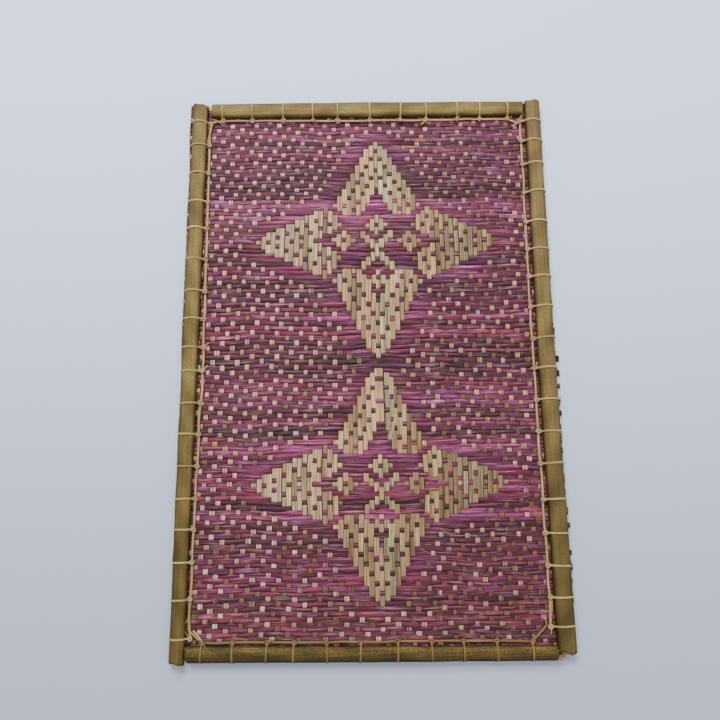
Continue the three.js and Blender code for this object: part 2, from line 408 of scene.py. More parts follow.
@dataclass(frozen=True)
class FibreFinish:
    """A dry plant surface: long fibres along the strip, edges painted darker as shade, specks and a low
    gloss.

    The colour is the piece's own shade times a tone. The tone is one plus the layers of noise, less
    painted shade at edges, undersides and dives and in the split, less the darkness of cracks, and grows
    in painted glints, which are highlights. It is raised to one power each for red, green and blue:
    powers above 1 make the dark parts richer in hue and the pale parts greyer. The hue drifts between
    bluer and browner streaks. Lengths are millimetres.
    """

    name: str
    slot: str
    fibre_length: float
    fibre_width: float
    fibre_tone: float
    broad_tone: float
    painted_edge_shade: float
    speck_colour: tuple[float, float, float]
    speck_share: float
    roughness: float
    gloss: float
    relief: float
    powers: tuple[float, float, float]
    hue_drift: float
    split_shade_and_depth: float = 0.0
    glint: float = 0.0
    crack_tone: float = 0.0
    streak_share: float = 3.2
    least_tone: float = 0.06
    split_wave: tuple[float, float] = (24.0, 7.0)
    split_edges: tuple[float, float] = (0.1, 0.4)
    crack_size: tuple[float, float] = (0.5, 5.0)
    crack_edges: tuple[float, float] = (0.62, 0.7)
    glint_edges: tuple[float, float] = (0.5, 0.74)
    glint_gain: float = 1.6
    glint_cover: float = 0.42
    glint_colour: tuple[float, float, float] = (238.0, 204.0, 208.0)
    brownest: float = -0.3
    green_drift: float = 0.55
    least_blue: float = 0.01
    speck_size: tuple[float, float] = (1.9, 0.6)
    speck_levels: tuple[float, float, float] = (0.5, 0.22, 0.05)
    speck_cover: float = 0.75
    roughness_change: float = 0.3
    broad_height: float = 0.6
    crack_height: float = 0.8
    speck_height: float = 0.5

    def grain(self, axes: tuple[Value, Value, Value], layer: Grain) -> Value:
        """Returns one layer of noise along the fibres.

        Args:
            axes: the place along the strip, the place across it and the strip's own number.
            layer: the layer's size, seed and detail.

        Returns:
            The noise, of about 0 to 1.
        """
        along, across, own = axes
        place = along.sheet.place(
            along / (self.fibre_length * layer.longer),
            across / (self.fibre_width * layer.wider),
            own + layer.seed if layer.seed else own,
        )
        return along.sheet.noise(place, layer.detail)

    def split(self, axes: tuple[Value, Value, Value]) -> Value:
        """Returns 1 in the one long split of a strip, whose place across wanders along it, and 0 elsewhere.

        Args:
            axes: the place along the strip, the place across it and the strip's own number.

        Returns:
            The share of split.
        """
        along, across, own = axes
        length, reach = self.split_wave
        wander = along.sheet.noise(along.sheet.place(along / length, 0.0, own + 71.0), 1.0)
        offset = across - (wander - 0.5) * reach
        gap = along.sheet.node("ShaderNodeMath", {"operation": "ABSOLUTE"}, {0: offset})
        return 1.0 - gap.above(*self.split_edges)

    def cracks(self, axes: tuple[Value, Value, Value]) -> Value:
        """Returns how dark the short cracks across the strip are.

        Args:
            axes: the place along the strip, the place across it and the strip's own number.

        Returns:
            The darkness, 0 where there is no crack.
        """
        along, across, own = axes
        length, width = self.crack_size
        cross = along.sheet.noise(along.sheet.place(along / length, across / width, own + 31.0), 2.0)
        return cross.above(*self.crack_edges) * self.crack_tone

    def specks(self, axes: tuple[Value, Value, Value]) -> Value:
        """Returns 1 in the small specks and 0 elsewhere.

        Args:
            axes: the place along the strip, the place across it and the strip's own number.

        Returns:
            The share of speck.
        """
        along, across, own = axes
        length, width = self.speck_size
        noise = along.sheet.noise(along.sheet.place(along / length, across / width, own + 5.0), 1.0)
        middle, spread, softness = self.speck_levels
        level = middle + spread * (1.0 - self.speck_share)
        return noise.above(level, level + softness)

    def material(self) -> bpy.types.Material:
        """Builds the finish.

        Returns:
            The material.
        """
        sheet = NodeSheet(self.name)
        lay = sheet.own("lay", "Vector")
        along = sheet.node("ShaderNodeSeparateXYZ", {}, {0: lay}, 0)
        across, own = (Value(sheet, along.socket.node.outputs[axis]) for axis in (1, 2))
        axes = (along, across, own)
        edge = sheet.own("shade", "Alpha")
        fibres, broad, streaks = (self.grain(axes, layer) for layer in (FINE_FIBRES, BROAD_PATCHES, STREAKS))
        tone = 1.0 + (fibres - 0.5) * (2.0 * self.fibre_tone) + (broad - 0.5) * (2.0 * self.broad_tone)
        tone = tone * (1.0 + (streaks - 0.5) * (self.streak_share * self.broad_tone))
        # painted shade: the tone is darker where the shade's alpha is high, at edges, undersides and dives
        tone = tone * (1.0 - edge * self.painted_edge_shade)
        split = self.split(axes)
        # painted shade: the strip is darker in its one long split, which the bump also sinks
        tone = tone * (1.0 - split * self.split_shade_and_depth)
        cracks = self.cracks(axes)
        tone = tone * (1.0 - cracks)
        # painted highlights: the glints brighten the tone and blend the colour towards a pale glint colour
        pale = self.grain(axes, GLINTS).above(*self.glint_edges) * (1.0 - edge) * self.glint
        tone = (tone * (1.0 + pale * self.glint_gain)).at_least(self.least_tone)
        drift = self.grain(axes, HUE_STREAKS)
        drift = ((drift - 0.5) * self.hue_drift).at_least(self.brownest)
        red, green, blue = (tone ** power for power in self.powers)
        green = green * (1.0 - drift * self.green_drift)
        blue = (blue * (1.0 + drift)).at_least(self.least_blue)
        colour = sheet.times(sheet.own("shade", "Color"), red, green, blue)
        colour = sheet.mixed(pale * self.glint_cover, colour, (*linear(*self.glint_colour), 1.0))
        specks = self.specks(axes)
        colour = sheet.mixed(specks * self.speck_cover, colour, (*linear(*self.speck_colour), 1.0))
        sheet.feed(sheet.skin.inputs["Base Color"], colour)
        sheet.feed(sheet.skin.inputs["Roughness"], self.roughness + (broad - 0.5) * self.roughness_change)
        sheet.skin.inputs["Specular IOR Level"].default_value = self.gloss
        height = fibres + broad * self.broad_height - cracks * self.crack_height
        height = height - specks * self.speck_height - split * self.split_shade_and_depth
        inputs = {"Height": height, "Strength": 1.0, "Distance": self.relief * MM}
        sheet.feed(sheet.skin.inputs["Normal"], sheet.node("ShaderNodeBump", {}, inputs, 0))
        return sheet.material


DYED_STRAW = FibreFinish(
    name="dyed_straw", slot="woven_straw", fibre_length=30.0, fibre_width=0.6, fibre_tone=1.2, broad_tone=1.0,
    painted_edge_shade=0.75, speck_colour=(52, 22, 38), speck_share=0.3, roughness=0.6, gloss=0.3, relief=0.18,
    powers=(1.0, 1.9, 1.4), hue_drift=2.3, split_shade_and_depth=0.45, glint=0.42,
)
NATURAL_STRAW = FibreFinish(
    name="natural_straw", slot="woven_straw", fibre_length=26.0, fibre_width=0.5, fibre_tone=0.7,
    broad_tone=0.7, painted_edge_shade=0.55, speck_colour=(150, 118, 70), speck_share=0.1, roughness=0.55, gloss=0.3,
    relief=0.14, powers=(1.0, 1.12, 1.15), hue_drift=0.8, split_shade_and_depth=0.35, glint=0.12,
)
OLIVE_CANE = FibreFinish(
    name="olive_cane", slot="cane", fibre_length=40.0, fibre_width=0.7, fibre_tone=0.35, broad_tone=0.26,
    painted_edge_shade=0.5, speck_colour=(66, 50, 20), speck_share=0.5, roughness=0.62, gloss=0.2, relief=0.14,
    powers=(1.0, 1.03, 1.25), hue_drift=0.5, crack_tone=0.14,
)
BROWN_CANE = FibreFinish(
    name="brown_cane", slot="brown_cane", fibre_length=26.0, fibre_width=0.6, fibre_tone=0.6, broad_tone=0.5,
    painted_edge_shade=0.5, speck_colour=(44, 32, 14), speck_share=0.8, roughness=0.66, gloss=0.18, relief=0.2,
    powers=(1.0, 1.05, 1.3), hue_drift=0.5, split_shade_and_depth=0.12, crack_tone=0.3,
)
PALE_STRAND = FibreFinish(
    name="pale_strand", slot="lacing", fibre_length=14.0, fibre_width=0.3, fibre_tone=0.5, broad_tone=0.5,
    painted_edge_shade=0.95, speck_colour=(120, 84, 36), speck_share=0.4, roughness=0.55, gloss=0.3, relief=0.1,
    powers=(1.0, 1.12, 1.3), hue_drift=0.5,
)


class Dye(Enum):
    """The shades that the dyed straws have, as screen colours."""

    LILAC = (152, 106, 146)
    MAUVE = (132, 70, 106)
    PINK = (138, 76, 110)
    ORCHID = (142, 82, 126)
    MAGENTA = (128, 52, 92)
    PURPLE = (116, 54, 98)
    PLUM = (104, 42, 78)
    MAROON = (98, 40, 58)
    ROSEWOOD = (134, 68, 84)
    GREYED = (122, 74, 98)
    BROWNED = (112, 66, 74)
    DARK = (88, 32, 64)


class Straw(Enum):
    """The shades that the undyed straws have, as screen colours."""

    CREAM = (242, 214, 160)
    TAN = (176, 148, 98)
    GREEN = (180, 190, 142)
    DUSTY = (178, 156, 104)
    PALE = (255, 240, 196)
    STAINED = (128, 102, 64)
    BRIGHT = (255, 236, 204)
    FIBRE = (206, 178, 150)

    @property
    def light(self) -> np.ndarray:
        """Returns the shade as linear light."""
        return linear(*self.value)


# The dyed rows, listed from the back to the front: how many rows in turn have each shade
DYE_BANDS: tuple[tuple[int, Dye], ...] = (
    (2, Dye.MAUVE), (1, Dye.PURPLE), (2, Dye.LILAC), (1, Dye.PLUM), (2, Dye.MAUVE), (1, Dye.GREYED),
    (1, Dye.PINK), (1, Dye.DARK), (1, Dye.GREYED), (1, Dye.BROWNED), (1, Dye.PINK), (2, Dye.PURPLE),
    (1, Dye.MAROON), (1, Dye.GREYED), (2, Dye.DARK), (1, Dye.PLUM), (2, Dye.DARK), (1, Dye.PLUM),
    (1, Dye.MAUVE), (2, Dye.LILAC), (1, Dye.ORCHID), (2, Dye.LILAC), (1, Dye.PINK), (1, Dye.GREYED),
    (1, Dye.BROWNED), (1, Dye.MAUVE), (1, Dye.PURPLE), (1, Dye.GREYED), (1, Dye.ROSEWOOD), (1, Dye.MAROON),
    (1, Dye.PINK), (1, Dye.PLUM), (1, Dye.DARK), (1, Dye.ORCHID), (1, Dye.MAGENTA), (1, Dye.MAUVE),
    (1, Dye.DARK), (1, Dye.MAROON), (1, Dye.BROWNED), (1, Dye.DARK), (1, Dye.PLUM), (1, Dye.MAUVE),
    (1, Dye.PLUM), (1, Dye.MAGENTA), (1, Dye.ORCHID), (1, Dye.DARK), (1, Dye.MAGENTA), (1, Dye.ROSEWOOD),
    (1, Dye.PINK), (2, Dye.PLUM), (1, Dye.MAUVE), (2, Dye.MAROON), (1, Dye.PURPLE), (2, Dye.PLUM),
    (1, Dye.PURPLE), (1, Dye.ROSEWOOD), (1, Dye.PINK), (1, Dye.GREYED), (1, Dye.MAUVE), (1, Dye.LILAC),
    (1, Dye.PLUM), (1, Dye.BROWNED), (1, Dye.PLUM), (1, Dye.ROSEWOOD), (1, Dye.MAUVE), (2, Dye.DARK),
    (1, Dye.BROWNED), (1, Dye.PINK), (2, Dye.LILAC), (1, Dye.ORCHID), (1, Dye.PURPLE), (2, Dye.PURPLE),
    (1, Dye.MAGENTA), (2, Dye.PINK), (1, Dye.LILAC), (2, Dye.ROSEWOOD), (1, Dye.MAROON), (1, Dye.DARK),
    (1, Dye.MAUVE), (1, Dye.LILAC), (1, Dye.MAGENTA), (1, Dye.MAROON), (2, Dye.GREYED), (1, Dye.MAROON),
    (2, Dye.BROWNED), (1, Dye.PLUM), (1, Dye.PURPLE), (1, Dye.GREYED), (2, Dye.PURPLE), (2, Dye.MAGENTA),
    (1, Dye.PINK), (1, Dye.ROSEWOOD), (1, Dye.MAROON), (1, Dye.PINK), (1, Dye.BROWNED), (2, Dye.ROSEWOOD),
    (1, Dye.BROWNED), (1, Dye.GREYED), (1, Dye.ROSEWOOD), (1, Dye.BROWNED), (2, Dye.PURPLE), (1, Dye.MAUVE),
    (1, Dye.DARK), (2, Dye.PURPLE), (2, Dye.MAUVE), (1, Dye.ROSEWOOD), (1, Dye.PLUM),
)


@dataclass
class StarChart:
    """Which crossings show the natural warp: two stars of 51 columns by 51 rows on a ground of dots.

    The ground is a satin of five: a dot stands where the column less twice the row leaves 4 when
    divided by 5. The inner outlines say where an arm starts, for each distance from its axis.
    """

    first_column: int = -40
    last_column: int = 36
    rows: int = 124
    centres: tuple[int, int] = (35, 88)
    satin: int = 5
    dot_rest: int = 4
    binding_rest: int = 3
    reach: int = 25
    half_width: int = 8
    quiet_reach: int = 17
    quiet_margin: int = 2
    corner_dot: int = 9
    inner_upright: tuple[int, ...] = (14, 12, 10, 8, 7, 7, 7, 7, 8)
    inner_sideways: tuple[int, ...] = (14, 12, 10, 9, 8, 9, 9, 10, 11)

    @property
    def columns(self) -> np.ndarray:
        """Returns the column numbers, 0 being the stars' axis."""
        return np.arange(self.first_column, self.last_column + 1)

    def arm(
        self, thin: np.ndarray, long: np.ndarray, inner: tuple[int, ...]
    ) -> tuple[np.ndarray, np.ndarray]:
        """Works out one pair of arms.

        An arm is a triangle: thin runs across it and long along it, and it ends at its reach less the
        larger of thin and twice thin less 2. A weft binds it where long plus twice thin leaves 3 by 5.

        Args:
            thin: distance from the arm's axis, in strips.
            long: distance from the star's centre along the arm, in strips.
            inner: where the arm starts, for each distance from its axis.

        Returns:
            The arm's whole area, and the crossings in it that show the warp.
        """
        start = np.array(inner)[np.minimum(thin, self.half_width)]
        stop = self.reach - np.maximum(thin, 2 * thin - 2)
        area = (thin <= self.half_width) & (long <= stop)
        bound = (long + 2 * thin) % self.satin == self.binding_rest
        return area, area & (long >= start) & ~bound

    def heart(self, side: np.ndarray, height: np.ndarray) -> np.ndarray:
        """Works out the small figure in a star's middle: three small diamonds, an x and a lower diamond.

        Args:
            side: distance to either side of the star's axis, in strips.
            height: distance above its centre, in strips.

        Returns:
            The crossings that show the warp.
        """
        top = (side + np.abs(height - 4) <= 2) & ~((side == 0) & (height == 4))
        beside = (np.abs(side - 7) + np.abs(height) <= 2) & ~((side == 7) & (height == 0))
        limb = (side >= 1) & (side <= 3)
        rising = limb & ((height == side - 1) | (height == side - 2))
        falling = limb & ((height == -side - 2) | (height == -side - 3))
        knot = (side == 0) & (height <= -1) & (height >= -3)
        low = (side == 0) & ((height == -7) | (height == -9) | (height == -10))
        low |= (side == 1) & ((height == -8) | (height == -9))
        low |= (side == 2) & (height == -9)
        return top | beside | rising | falling | knot | low

    def natural(self) -> np.ndarray:
        """Works out the whole chart. Round each star the ground's dots are left out.

        Returns:
            True for each crossing, as (columns, rows), where the natural warp lies on top.
        """
        column = self.columns[:, None]
        row = np.arange(self.rows)[None, :]
        shown = (column - 2 * row) % self.satin == self.dot_rest
        side = np.abs(column) + 0 * row
        for centre in self.centres:
            height = centre - row + 0 * column
            distance = np.abs(height)
            upright, upright_shown = self.arm(side, distance, self.inner_upright)
            sideways, sideways_shown = self.arm(distance, side, self.inner_sideways)
            quiet = upright | sideways | (side + distance <= self.quiet_reach)
            for _ in range(self.quiet_margin):
                for axis in (0, 1):
                    quiet = quiet | np.roll(quiet, 1, axis=axis) | np.roll(quiet, -1, axis=axis)
            corner = (side == self.corner_dot) & (distance == self.corner_dot)
            shown = (shown & ~quiet) | upright_shown | sideways_shown | corner | self.heart(side, height)
        return shown


@dataclass(frozen=True)
class Spread:
    """A measure that is drawn for each strip: its mean, its spread, and the least and most it may be."""

    mean: float
    spread: float
    least: float
    most: float

    def draw(self, source: np.random.Generator, count: int) -> np.ndarray:
        """Returns that many clipped normal draws."""
        return np.clip(source.normal(self.mean, self.spread, count), self.least, self.most)


@dataclass(frozen=True)
class LooseFibres:
    """The few hair-thin fibres that have split off and lie on the weave.

    A fibre is a thin strand along a line that wavers to either side and lifts in its middle. The longest
    one has its own place, length and heading. The others lie at random places of the open field.
    """

    seed: int = 23
    count: int = 13
    longest: tuple[float, float, float, float] = (53.0, -134.0, 28.0, -0.12)
    size: tuple[float, float] = (0.32, 0.22)
    low_corner: tuple[float, float] = (-120, -195)
    high_corner: tuple[float, float] = (110, 195)
    lengths: tuple[float, float] = (5, 13)
    turning: float = 0.25
    wavering: float = 0.06
    heights: tuple[float, ...] = (1.9, 2.5, 2.4, 2.0)
    tones: tuple[float, float] = (0.6, 1.1)
    edge_shade: float = 0.1
    number: float = 80.0

    def add(self, shell: Shell) -> None:
        """Adds the fibres.

        Args:
            shell: the shell that they join.
        """
        source = np.random.default_rng(self.seed)
        outline = flat_section(*self.size, 4)
        starts = [self.longest]
        for _ in range(self.count):
            place = source.uniform(self.low_corner, self.high_corner)
            starts.append((*place, source.uniform(*self.lengths), source.normal(0.0, self.turning)))
        for x, y, length, heading in starts:
            along = np.array([0.0, 0.35, 0.7, 1.0]) * length
            bend = source.normal(0.0, self.wavering, 4) * length
            points = np.stack([
                x + along * np.cos(heading) - bend * np.sin(heading),
                y + along * np.sin(heading) + bend * np.cos(heading),
                np.array(self.heights),
            ], axis=-1)
            path = eased(points, 14, 5)
            turn = np.cross(UP, path[-1] - path[0])
            shade = np.array([*(Straw.FIBRE.light * source.uniform(*self.tones)), self.edge_shade])
            shell.add(carried(path[None], turn, outline), shade, np.array([x, 0.0, self.number + x]))


@dataclass
class Weave:
    """The woven sheet: dyed wefts from left to right and natural warps from front to back.

    Both kinds of strip are low closed shells. A strip's height is its upper level where it passes
    over the other kind, and its lower level where it passes under. In the border, which the canes
    press, both levels are raised and drawn together, so that the lacing has room beneath.
    """

    chart: StarChart = field(default_factory=StarChart)
    loose_fibres: LooseFibres = LooseFibres()
    axis: float = 7.9
    left_pitch: float = 3.93
    right_pitch: float = 3.87
    pair_opens: Slope = Slope(2.0, 8.0)
    pair_closes: Slope = Slope(54.0, 62.0)
    push_right: Bell = Bell(1.0, 4.5, 2.5)
    push_left: Bell = Bell(-1.0, 9.0, 1.4)
    column_waves: tuple[float, ...] = (170.0, 90.0, 61.0)
    column_drift: float = 0.35
    row_marks: tuple[float, ...] = (-0.5, 9.5, 35.0, 60.5, 62.5, 113.5, 123.5)
    row_places: tuple[float, ...] = (226.2, 191.5, 102.0, 2.0, -6.8, -188.0, -224.0)
    row_waves: tuple[float, ...] = (210.0, 120.0, 74.0, 46.0)
    row_drift: float = 0.2
    last_rows_calm: Slope = Slope(112.0, 123.0, 0.6)
    left_end: float = -149.3
    right_end: float = 149.9
    right_taper: float = 0.75
    back_end: float = 225.8
    front_end: float = -224.0
    front_lean: float = 2.6
    lean_starts: Slope = Slope(200.0, 226.0)
    left_press: Slope = Slope(128.0, 136.0)
    right_press: Slope = Slope(127.0, 135.0)
    back_press: Slope = Slope(205.0, 213.0)
    front_press: Slope = Slope(207.0, 215.0)
    stray_length: float = 1.4
    stray_every: int = 3
    stray_rows: Slope = Slope(-60.0, 40.0)
    left_ends_rough: float = 0.45
    right_ends_rough: float = 0.5
    back_ends_rough: float = 0.2
    front_ends_rough: float = 0.3
    weft_levels: tuple[float, float] = (0.66, 1.42)
    warp_levels: tuple[float, float] = (0.52, 1.7)
    border_weft: tuple[float, float] = (1.42, 1.85)
    border_warp: tuple[float, float] = (1.27, 1.93)
    lowest_weft: float = 0.6
    thickness: float = 0.6
    section_across: tuple[float, ...] = (-0.5, 0.5, 0.45, 0.0, -0.45)
    section_height: tuple[float, ...] = (-0.42, -0.42, 0.34, 0.5, 0.34)
    section_edge_shade: tuple[float, ...] = (1.0, 1.0, 0.36, 0.0, 0.36)
    section_crisp: tuple[int, ...] = (0, 1, 4)
    number_step: float = 3.7
    plateau: float = 0.31
    dive_reach: tuple[float, ...] = (0.55, 0.3, 0.1)
    column_width: Spread = Spread(3.6, 0.22, 3.0, 4.1)
    row_width: Spread = Spread(4.1, 0.55, 3.2, 5.4)
    column_shift: float = 0.22
    row_shift: float = 0.16
    column_wave: float = 0.42
    row_wave: float = 0.62
    pair_width: float = 3.3
    squeezed_width: float = 1.1
    squeezed_column: int = 3
    weft_wobble: Ripple = Ripple(0.09, (31.0, 19.0, 53.0), 1.7)
    weft_lift: float = 0.1
    weft_swell: Ripple = Ripple(0.09, (57.0, 33.0, 91.0), 1.3)
    weft_ripple: Ripple = Ripple(0.07, (27.0, 17.0, 22.0), 2.9)
    weft_roll: Ripple = Ripple(0.07, (67.0, 41.0, 23.0), 2.3)
    most_roll: float = 0.1
    weft_fullness: float = 1.05
    weft_narrowing: float = 0.12
    warp_swell: Ripple = Ripple(0.05, (64.0, 39.0), 1.9)
    warp_narrowing: float = 0.04
    warp_number: float = 500.0
    weft_dive_shade: float = 0.5
    warp_dive_shade: float = 0.2
    dye_strength: float = 1.2
    dye_depth: float = 0.6
    dye_union: float = 0.5
    darkest_dye: float = 0.004
    dye_tint: tuple[float, float, float] = (0.98, 0.65, 0.61)
    dye_powers: tuple[float, float, float] = (1.0, 1.5, 1.25)
    warmth: tuple[float, float] = (-0.25, 0.06)
    front_shade_loss: tuple[float, float, float] = (0.14, 0.2, 0.28)
    left_loss: tuple[float, float, float] = (0.02, 0.0, 0.08)
    straw_tint: tuple[float, float, float] = (1.04, 1.0, 0.92)
    greenish_axis: Bell = Bell(1.5, 1.6, 0.75)
    greenish_places: tuple[Bell, ...] = (Bell(74.0, 60.0, 0.55), Bell(88.0, 14.0, 0.6))
    dusty_places: tuple[Bell, ...] = (Bell(-51.0, 40.0), Bell(56.0, 130.0))
    straw_join: Slope = Slope(-1.0, 1.0)
    straw_ripple: Ripple = Ripple(1.0, (83.0, 47.0, 29.0), 2.1)
    straw_ripple_share: float = 0.3
    straw_tones: tuple[float, float] = (0.55, 1.5)
    weft_joins: int = 3
    weft_join_tone: float = 0.09
    weft_float_tone: float = 0.14
    weft_join_warmth: float = 0.04
    weft_float_warmth: float = 0.08
    warm_gain: tuple[float, float, float] = (0.9, 0.35, -0.9)
    front_shade_rows: Slope = Slope(60.0, 108.0)
    front_shade_least: float = 0.45
    front_shade_right: Slope = Slope(-110.0, 110.0, 0.75)
    left_places: Slope = Slope(-30.0, 60.0)
    left_rows: Slope = Slope(34.0, 60.0)
    warp_joins: int = 5
    warp_join_tone: float = 0.15
    warp_float_tone: float = 0.2
    tan_share: tuple[float, float] = (0.4, 0.42)
    tan_share_axis: float = 0.1
    most_greenish: float = 0.8
    dusty_share: float = 0.6
    pale_left: Slope = Slope(10.0, 60.0, 0.45)
    dull_right: Slope = Slope(30.0, 80.0, 0.2)
    front_falloff_shade: Slope = Slope(60.0, 170.0, 0.3)
    bright_gain: float = 1.1
    lightest: float = 0.95
    stain_least: float = 0.26
    stain_right: Slope = Slope(-40.0, 110.0, 0.28)
    stain_front: Slope = Slope(0.0, 200.0, 0.3)
    stain_gain: float = 3.0
    stain_most: float = 0.9
    bright_from: float = 0.5
    bright_slope: float = 1.15
    bright_right: Slope = Slope(0.0, 60.0, 0.5)
    source: np.random.Generator = field(default_factory=lambda: np.random.default_rng(71))
    column_wave_seed: int = 5
    row_wave_seed: int = 12

    def __post_init__(self) -> None:
        """Draws the numbers that are shared by wefts and warps."""
        self.natural = self.chart.natural()
        count = len(self.chart.columns)
        self.column_shifts = self.source.normal(0.0, self.column_shift, count)
        self.column_widths = self.column_width.draw(self.source, count)
        self.row_shifts = self.source.normal(0.0, self.row_shift, self.chart.rows)
        self.row_widths = self.row_width.draw(self.source, self.chart.rows)

    def paired(self, y: np.ndarray) -> np.ndarray:
        """Returns 1 where two straws lie side by side on the lower star's axis, and 0 elsewhere."""
        return self.pair_opens.at(-y) * (1.0 - self.pair_closes.at(-y))

    def column_x(self, column: np.ndarray, y: np.ndarray) -> np.ndarray:
        """Works out where columns lie.

        A column's place is its number times the pitch, plus its own small shift, plus a slow wave
        along its length. Beside the paired straws it is pushed outwards, by a bell curve of its
        distance from the pair.

        Args:
            column: column numbers, which may lie between two columns.
            y: places along the columns.

        Returns:
            The columns' places across the mat.
        """
        base = self.axis + np.where(column < 0, self.left_pitch, self.right_pitch) * column
        own = np.interp(column, self.chart.columns, self.column_shifts)
        source = np.random.default_rng(self.column_wave_seed)
        slow = waves(source, y, column, self.column_waves, self.column_drift)
        push = np.where(column > 0, self.push_right.at(column), 0.0)
        push = push - np.where(column < 0, self.push_left.at(column), 0.0)
        return base + own + self.column_wave * slow + push * self.paired(y)

    def row_y(self, row: np.ndarray, x: np.ndarray) -> np.ndarray:
        """Works out where rows lie: marks read by row number, plus each row's shift and slow waves.

        Args:
            row: row numbers, which may lie between two rows.
            x: places along the rows.

        Returns:
            The rows' places along the mat.
        """
        base = np.interp(row, self.row_marks, self.row_places)
        own = np.interp(row, np.arange(self.chart.rows), self.row_shifts)
        slow = waves(np.random.default_rng(self.row_wave_seed), x, row, self.row_waves, self.row_drift)
        loose = 1.0 - self.last_rows_calm.at(row)
        return base + own + self.row_wave * slow * loose

    def lean(self, x: np.ndarray, y: np.ndarray) -> np.ndarray:
        """Returns how far the last rows lean back towards the right, because the front isn't square."""
        return self.lean_starts.at(-y) * self.front_lean * ramp(x, -150.0, 150.0)

    def pressed(self, x: np.ndarray, y: np.ndarray) -> np.ndarray:
        """Works out where the canes press on the sheet: the largest of one ramp for each side.

        Args:
            x: places across the mat.
            y: places along the mat.

        Returns:
            0 in the open field and 1 in the border that the canes cover.
        """
        sides = [self.left_press.at(-x), self.right_press.at(x)]
        ends = [self.back_press.at(y), self.front_press.at(-y)]
        return np.maximum.reduce(sides + ends)

    def levels(
        self, over: np.ndarray, inside: tuple[float, float], border: tuple[float, float], pressed: np.ndarray
    ) -> np.ndarray:
        """Works out heights: the level for over in the field and in the border, blended.

        Args:
            over: 0 where the strip passes under the other kind, and 1 where it passes over.
            inside: the lower and the upper level in the field.
            border: the lower and the upper level in the border.
            pressed: 0 in the field and 1 in the border.

        Returns:
            The heights.
        """
        open_level = inside[0] + (inside[1] - inside[0]) * over
        pressed_level = border[0] + (border[1] - border[0]) * over
        return open_level + (pressed_level - open_level) * pressed

    def doubled(self, values: np.ndarray) -> np.ndarray:
        """Gives each crossing's value to its two stations, and the outer values to the strips' ends."""
        return np.concatenate([values[..., :1], np.repeat(values, 2, axis=-1), values[..., -1:]], axis=-1)

    def stations(self, numbers: np.ndarray) -> np.ndarray:
        """Returns where the stations lie, in crossings: two for each crossing, and the strips' two ends.

        Between its two stations a strip stays level, so that each float has a square end.
        """
        both = numbers[:, None] + np.array([-self.plateau, self.plateau])
        return np.concatenate([[numbers[0] - 0.5], both.ravel(), [numbers[-1] + 0.5]])

    def strips(
        self,
        shell: Shell,
        path: np.ndarray,
        width: np.ndarray,
        side: np.ndarray,
        colour: np.ndarray,
        dive: np.ndarray,
        start: float,
    ) -> None:
        """Adds strips with a flat underside and a low crown, five points round.

        Args:
            shell: the shell that they join.
            path: their centre lines as (strips, stations, 3).
            width: their widths as (strips, stations).
            side: the direction across them.
            colour: linear colours as (strips, stations, 3).
            dive: painted shade, how much darker they are where they go under, as (strips, stations).
            start: the first strip's own number.
        """
        across = np.array(self.section_across)
        height = np.array(self.section_height) * self.thickness
        edge = np.array(self.section_edge_shade)
        outline = np.stack(np.broadcast_arrays(width[..., None] * across, height), axis=-1)
        grid = carried(path, side, outline)
        # painted shade: darker at the section's edges and near where the strip goes under, kept in the alpha
        dark = np.clip(edge + dive[..., None], 0.0, 1.0)[..., None]
        spread = np.broadcast_to(colour[:, :, None, :], (*path.shape[:2], len(across), 3))
        shade = np.concatenate([spread, dark], axis=-1)
        along = np.argmax(np.abs(path[0, -1] - path[0, 0]))
        number = start + self.number_step * np.arange(len(path))
        places = np.broadcast_arrays(path[:, :, along][:, :, None], outline[..., 0], number[:, None, None])
        shell.add(grid, shade, np.stack(places, axis=-1), self.section_crisp)

    def near_dive(self, over: np.ndarray) -> np.ndarray:
        """Works out how near a strip is to going under: 1 less over, spread more weakly to its neighbours.

        Args:
            over: 0 to 1, how far the strip lies on top, as (strips, stations).

        Returns:
            1 where it goes under, less at the next three stations, and 0 further on.
        """
        under = 1.0 - over
        spread = under.copy()
        for step, share in enumerate(self.dive_reach, 1):
            spread[:, step:] = np.maximum(spread[:, step:], share * under[:, :-step])
            spread[:, :-step] = np.maximum(spread[:, :-step], share * under[:, step:])
        return spread

    def pieced(self, count: int, place: np.ndarray, strength: float, joins: int) -> np.ndarray:
        """Returns tone factors for strips made of several straws laid end to end.

        At each join the tone jumps: it is the sum of a random step for each join that lies behind.

        Args:
            count: the number of strips.
            place: places along the strips as (strips, stations).
            strength: how far the tone jumps.
            joins: the joins in each strip.

        Returns:
            Factors about 1, as (strips, stations).
        """
        low, high = place.min(), place.max()
        total = np.ones(place.shape)
        for _ in range(joins):
            join = self.source.uniform(low, high, (count, 1))
            total = total + self.source.normal(0.0, strength, (count, 1)) * self.straw_join.at(place - join)
        slow = self.straw_ripple.draw(self.source, place, np.arange(count)[:, None])
        return np.clip(total + self.straw_ripple_share * strength * slow, *self.straw_tones)

    def float_tones(self, over: np.ndarray, strength: float) -> np.ndarray:
        """Gives each float its own tone.

        A float is a run of crossings along a strip with the same strip on top. Runs are numbered by
        counting the changes that lie before a crossing.

        Args:
            over: whether the strip lies on top, as (strips, crossings).
            strength: the spread of the tones.

        Returns:
            Factors about 1, as (strips, stations).
        """
        change = np.concatenate([np.zeros((len(over), 1), bool), over[:, 1:] != over[:, :-1]], axis=1)
        run = np.cumsum(change, axis=1)
        table = np.exp(self.source.normal(0.0, strength, (len(over), run.max() + 1)))
        return self.doubled(np.take_along_axis(table, run, axis=1))

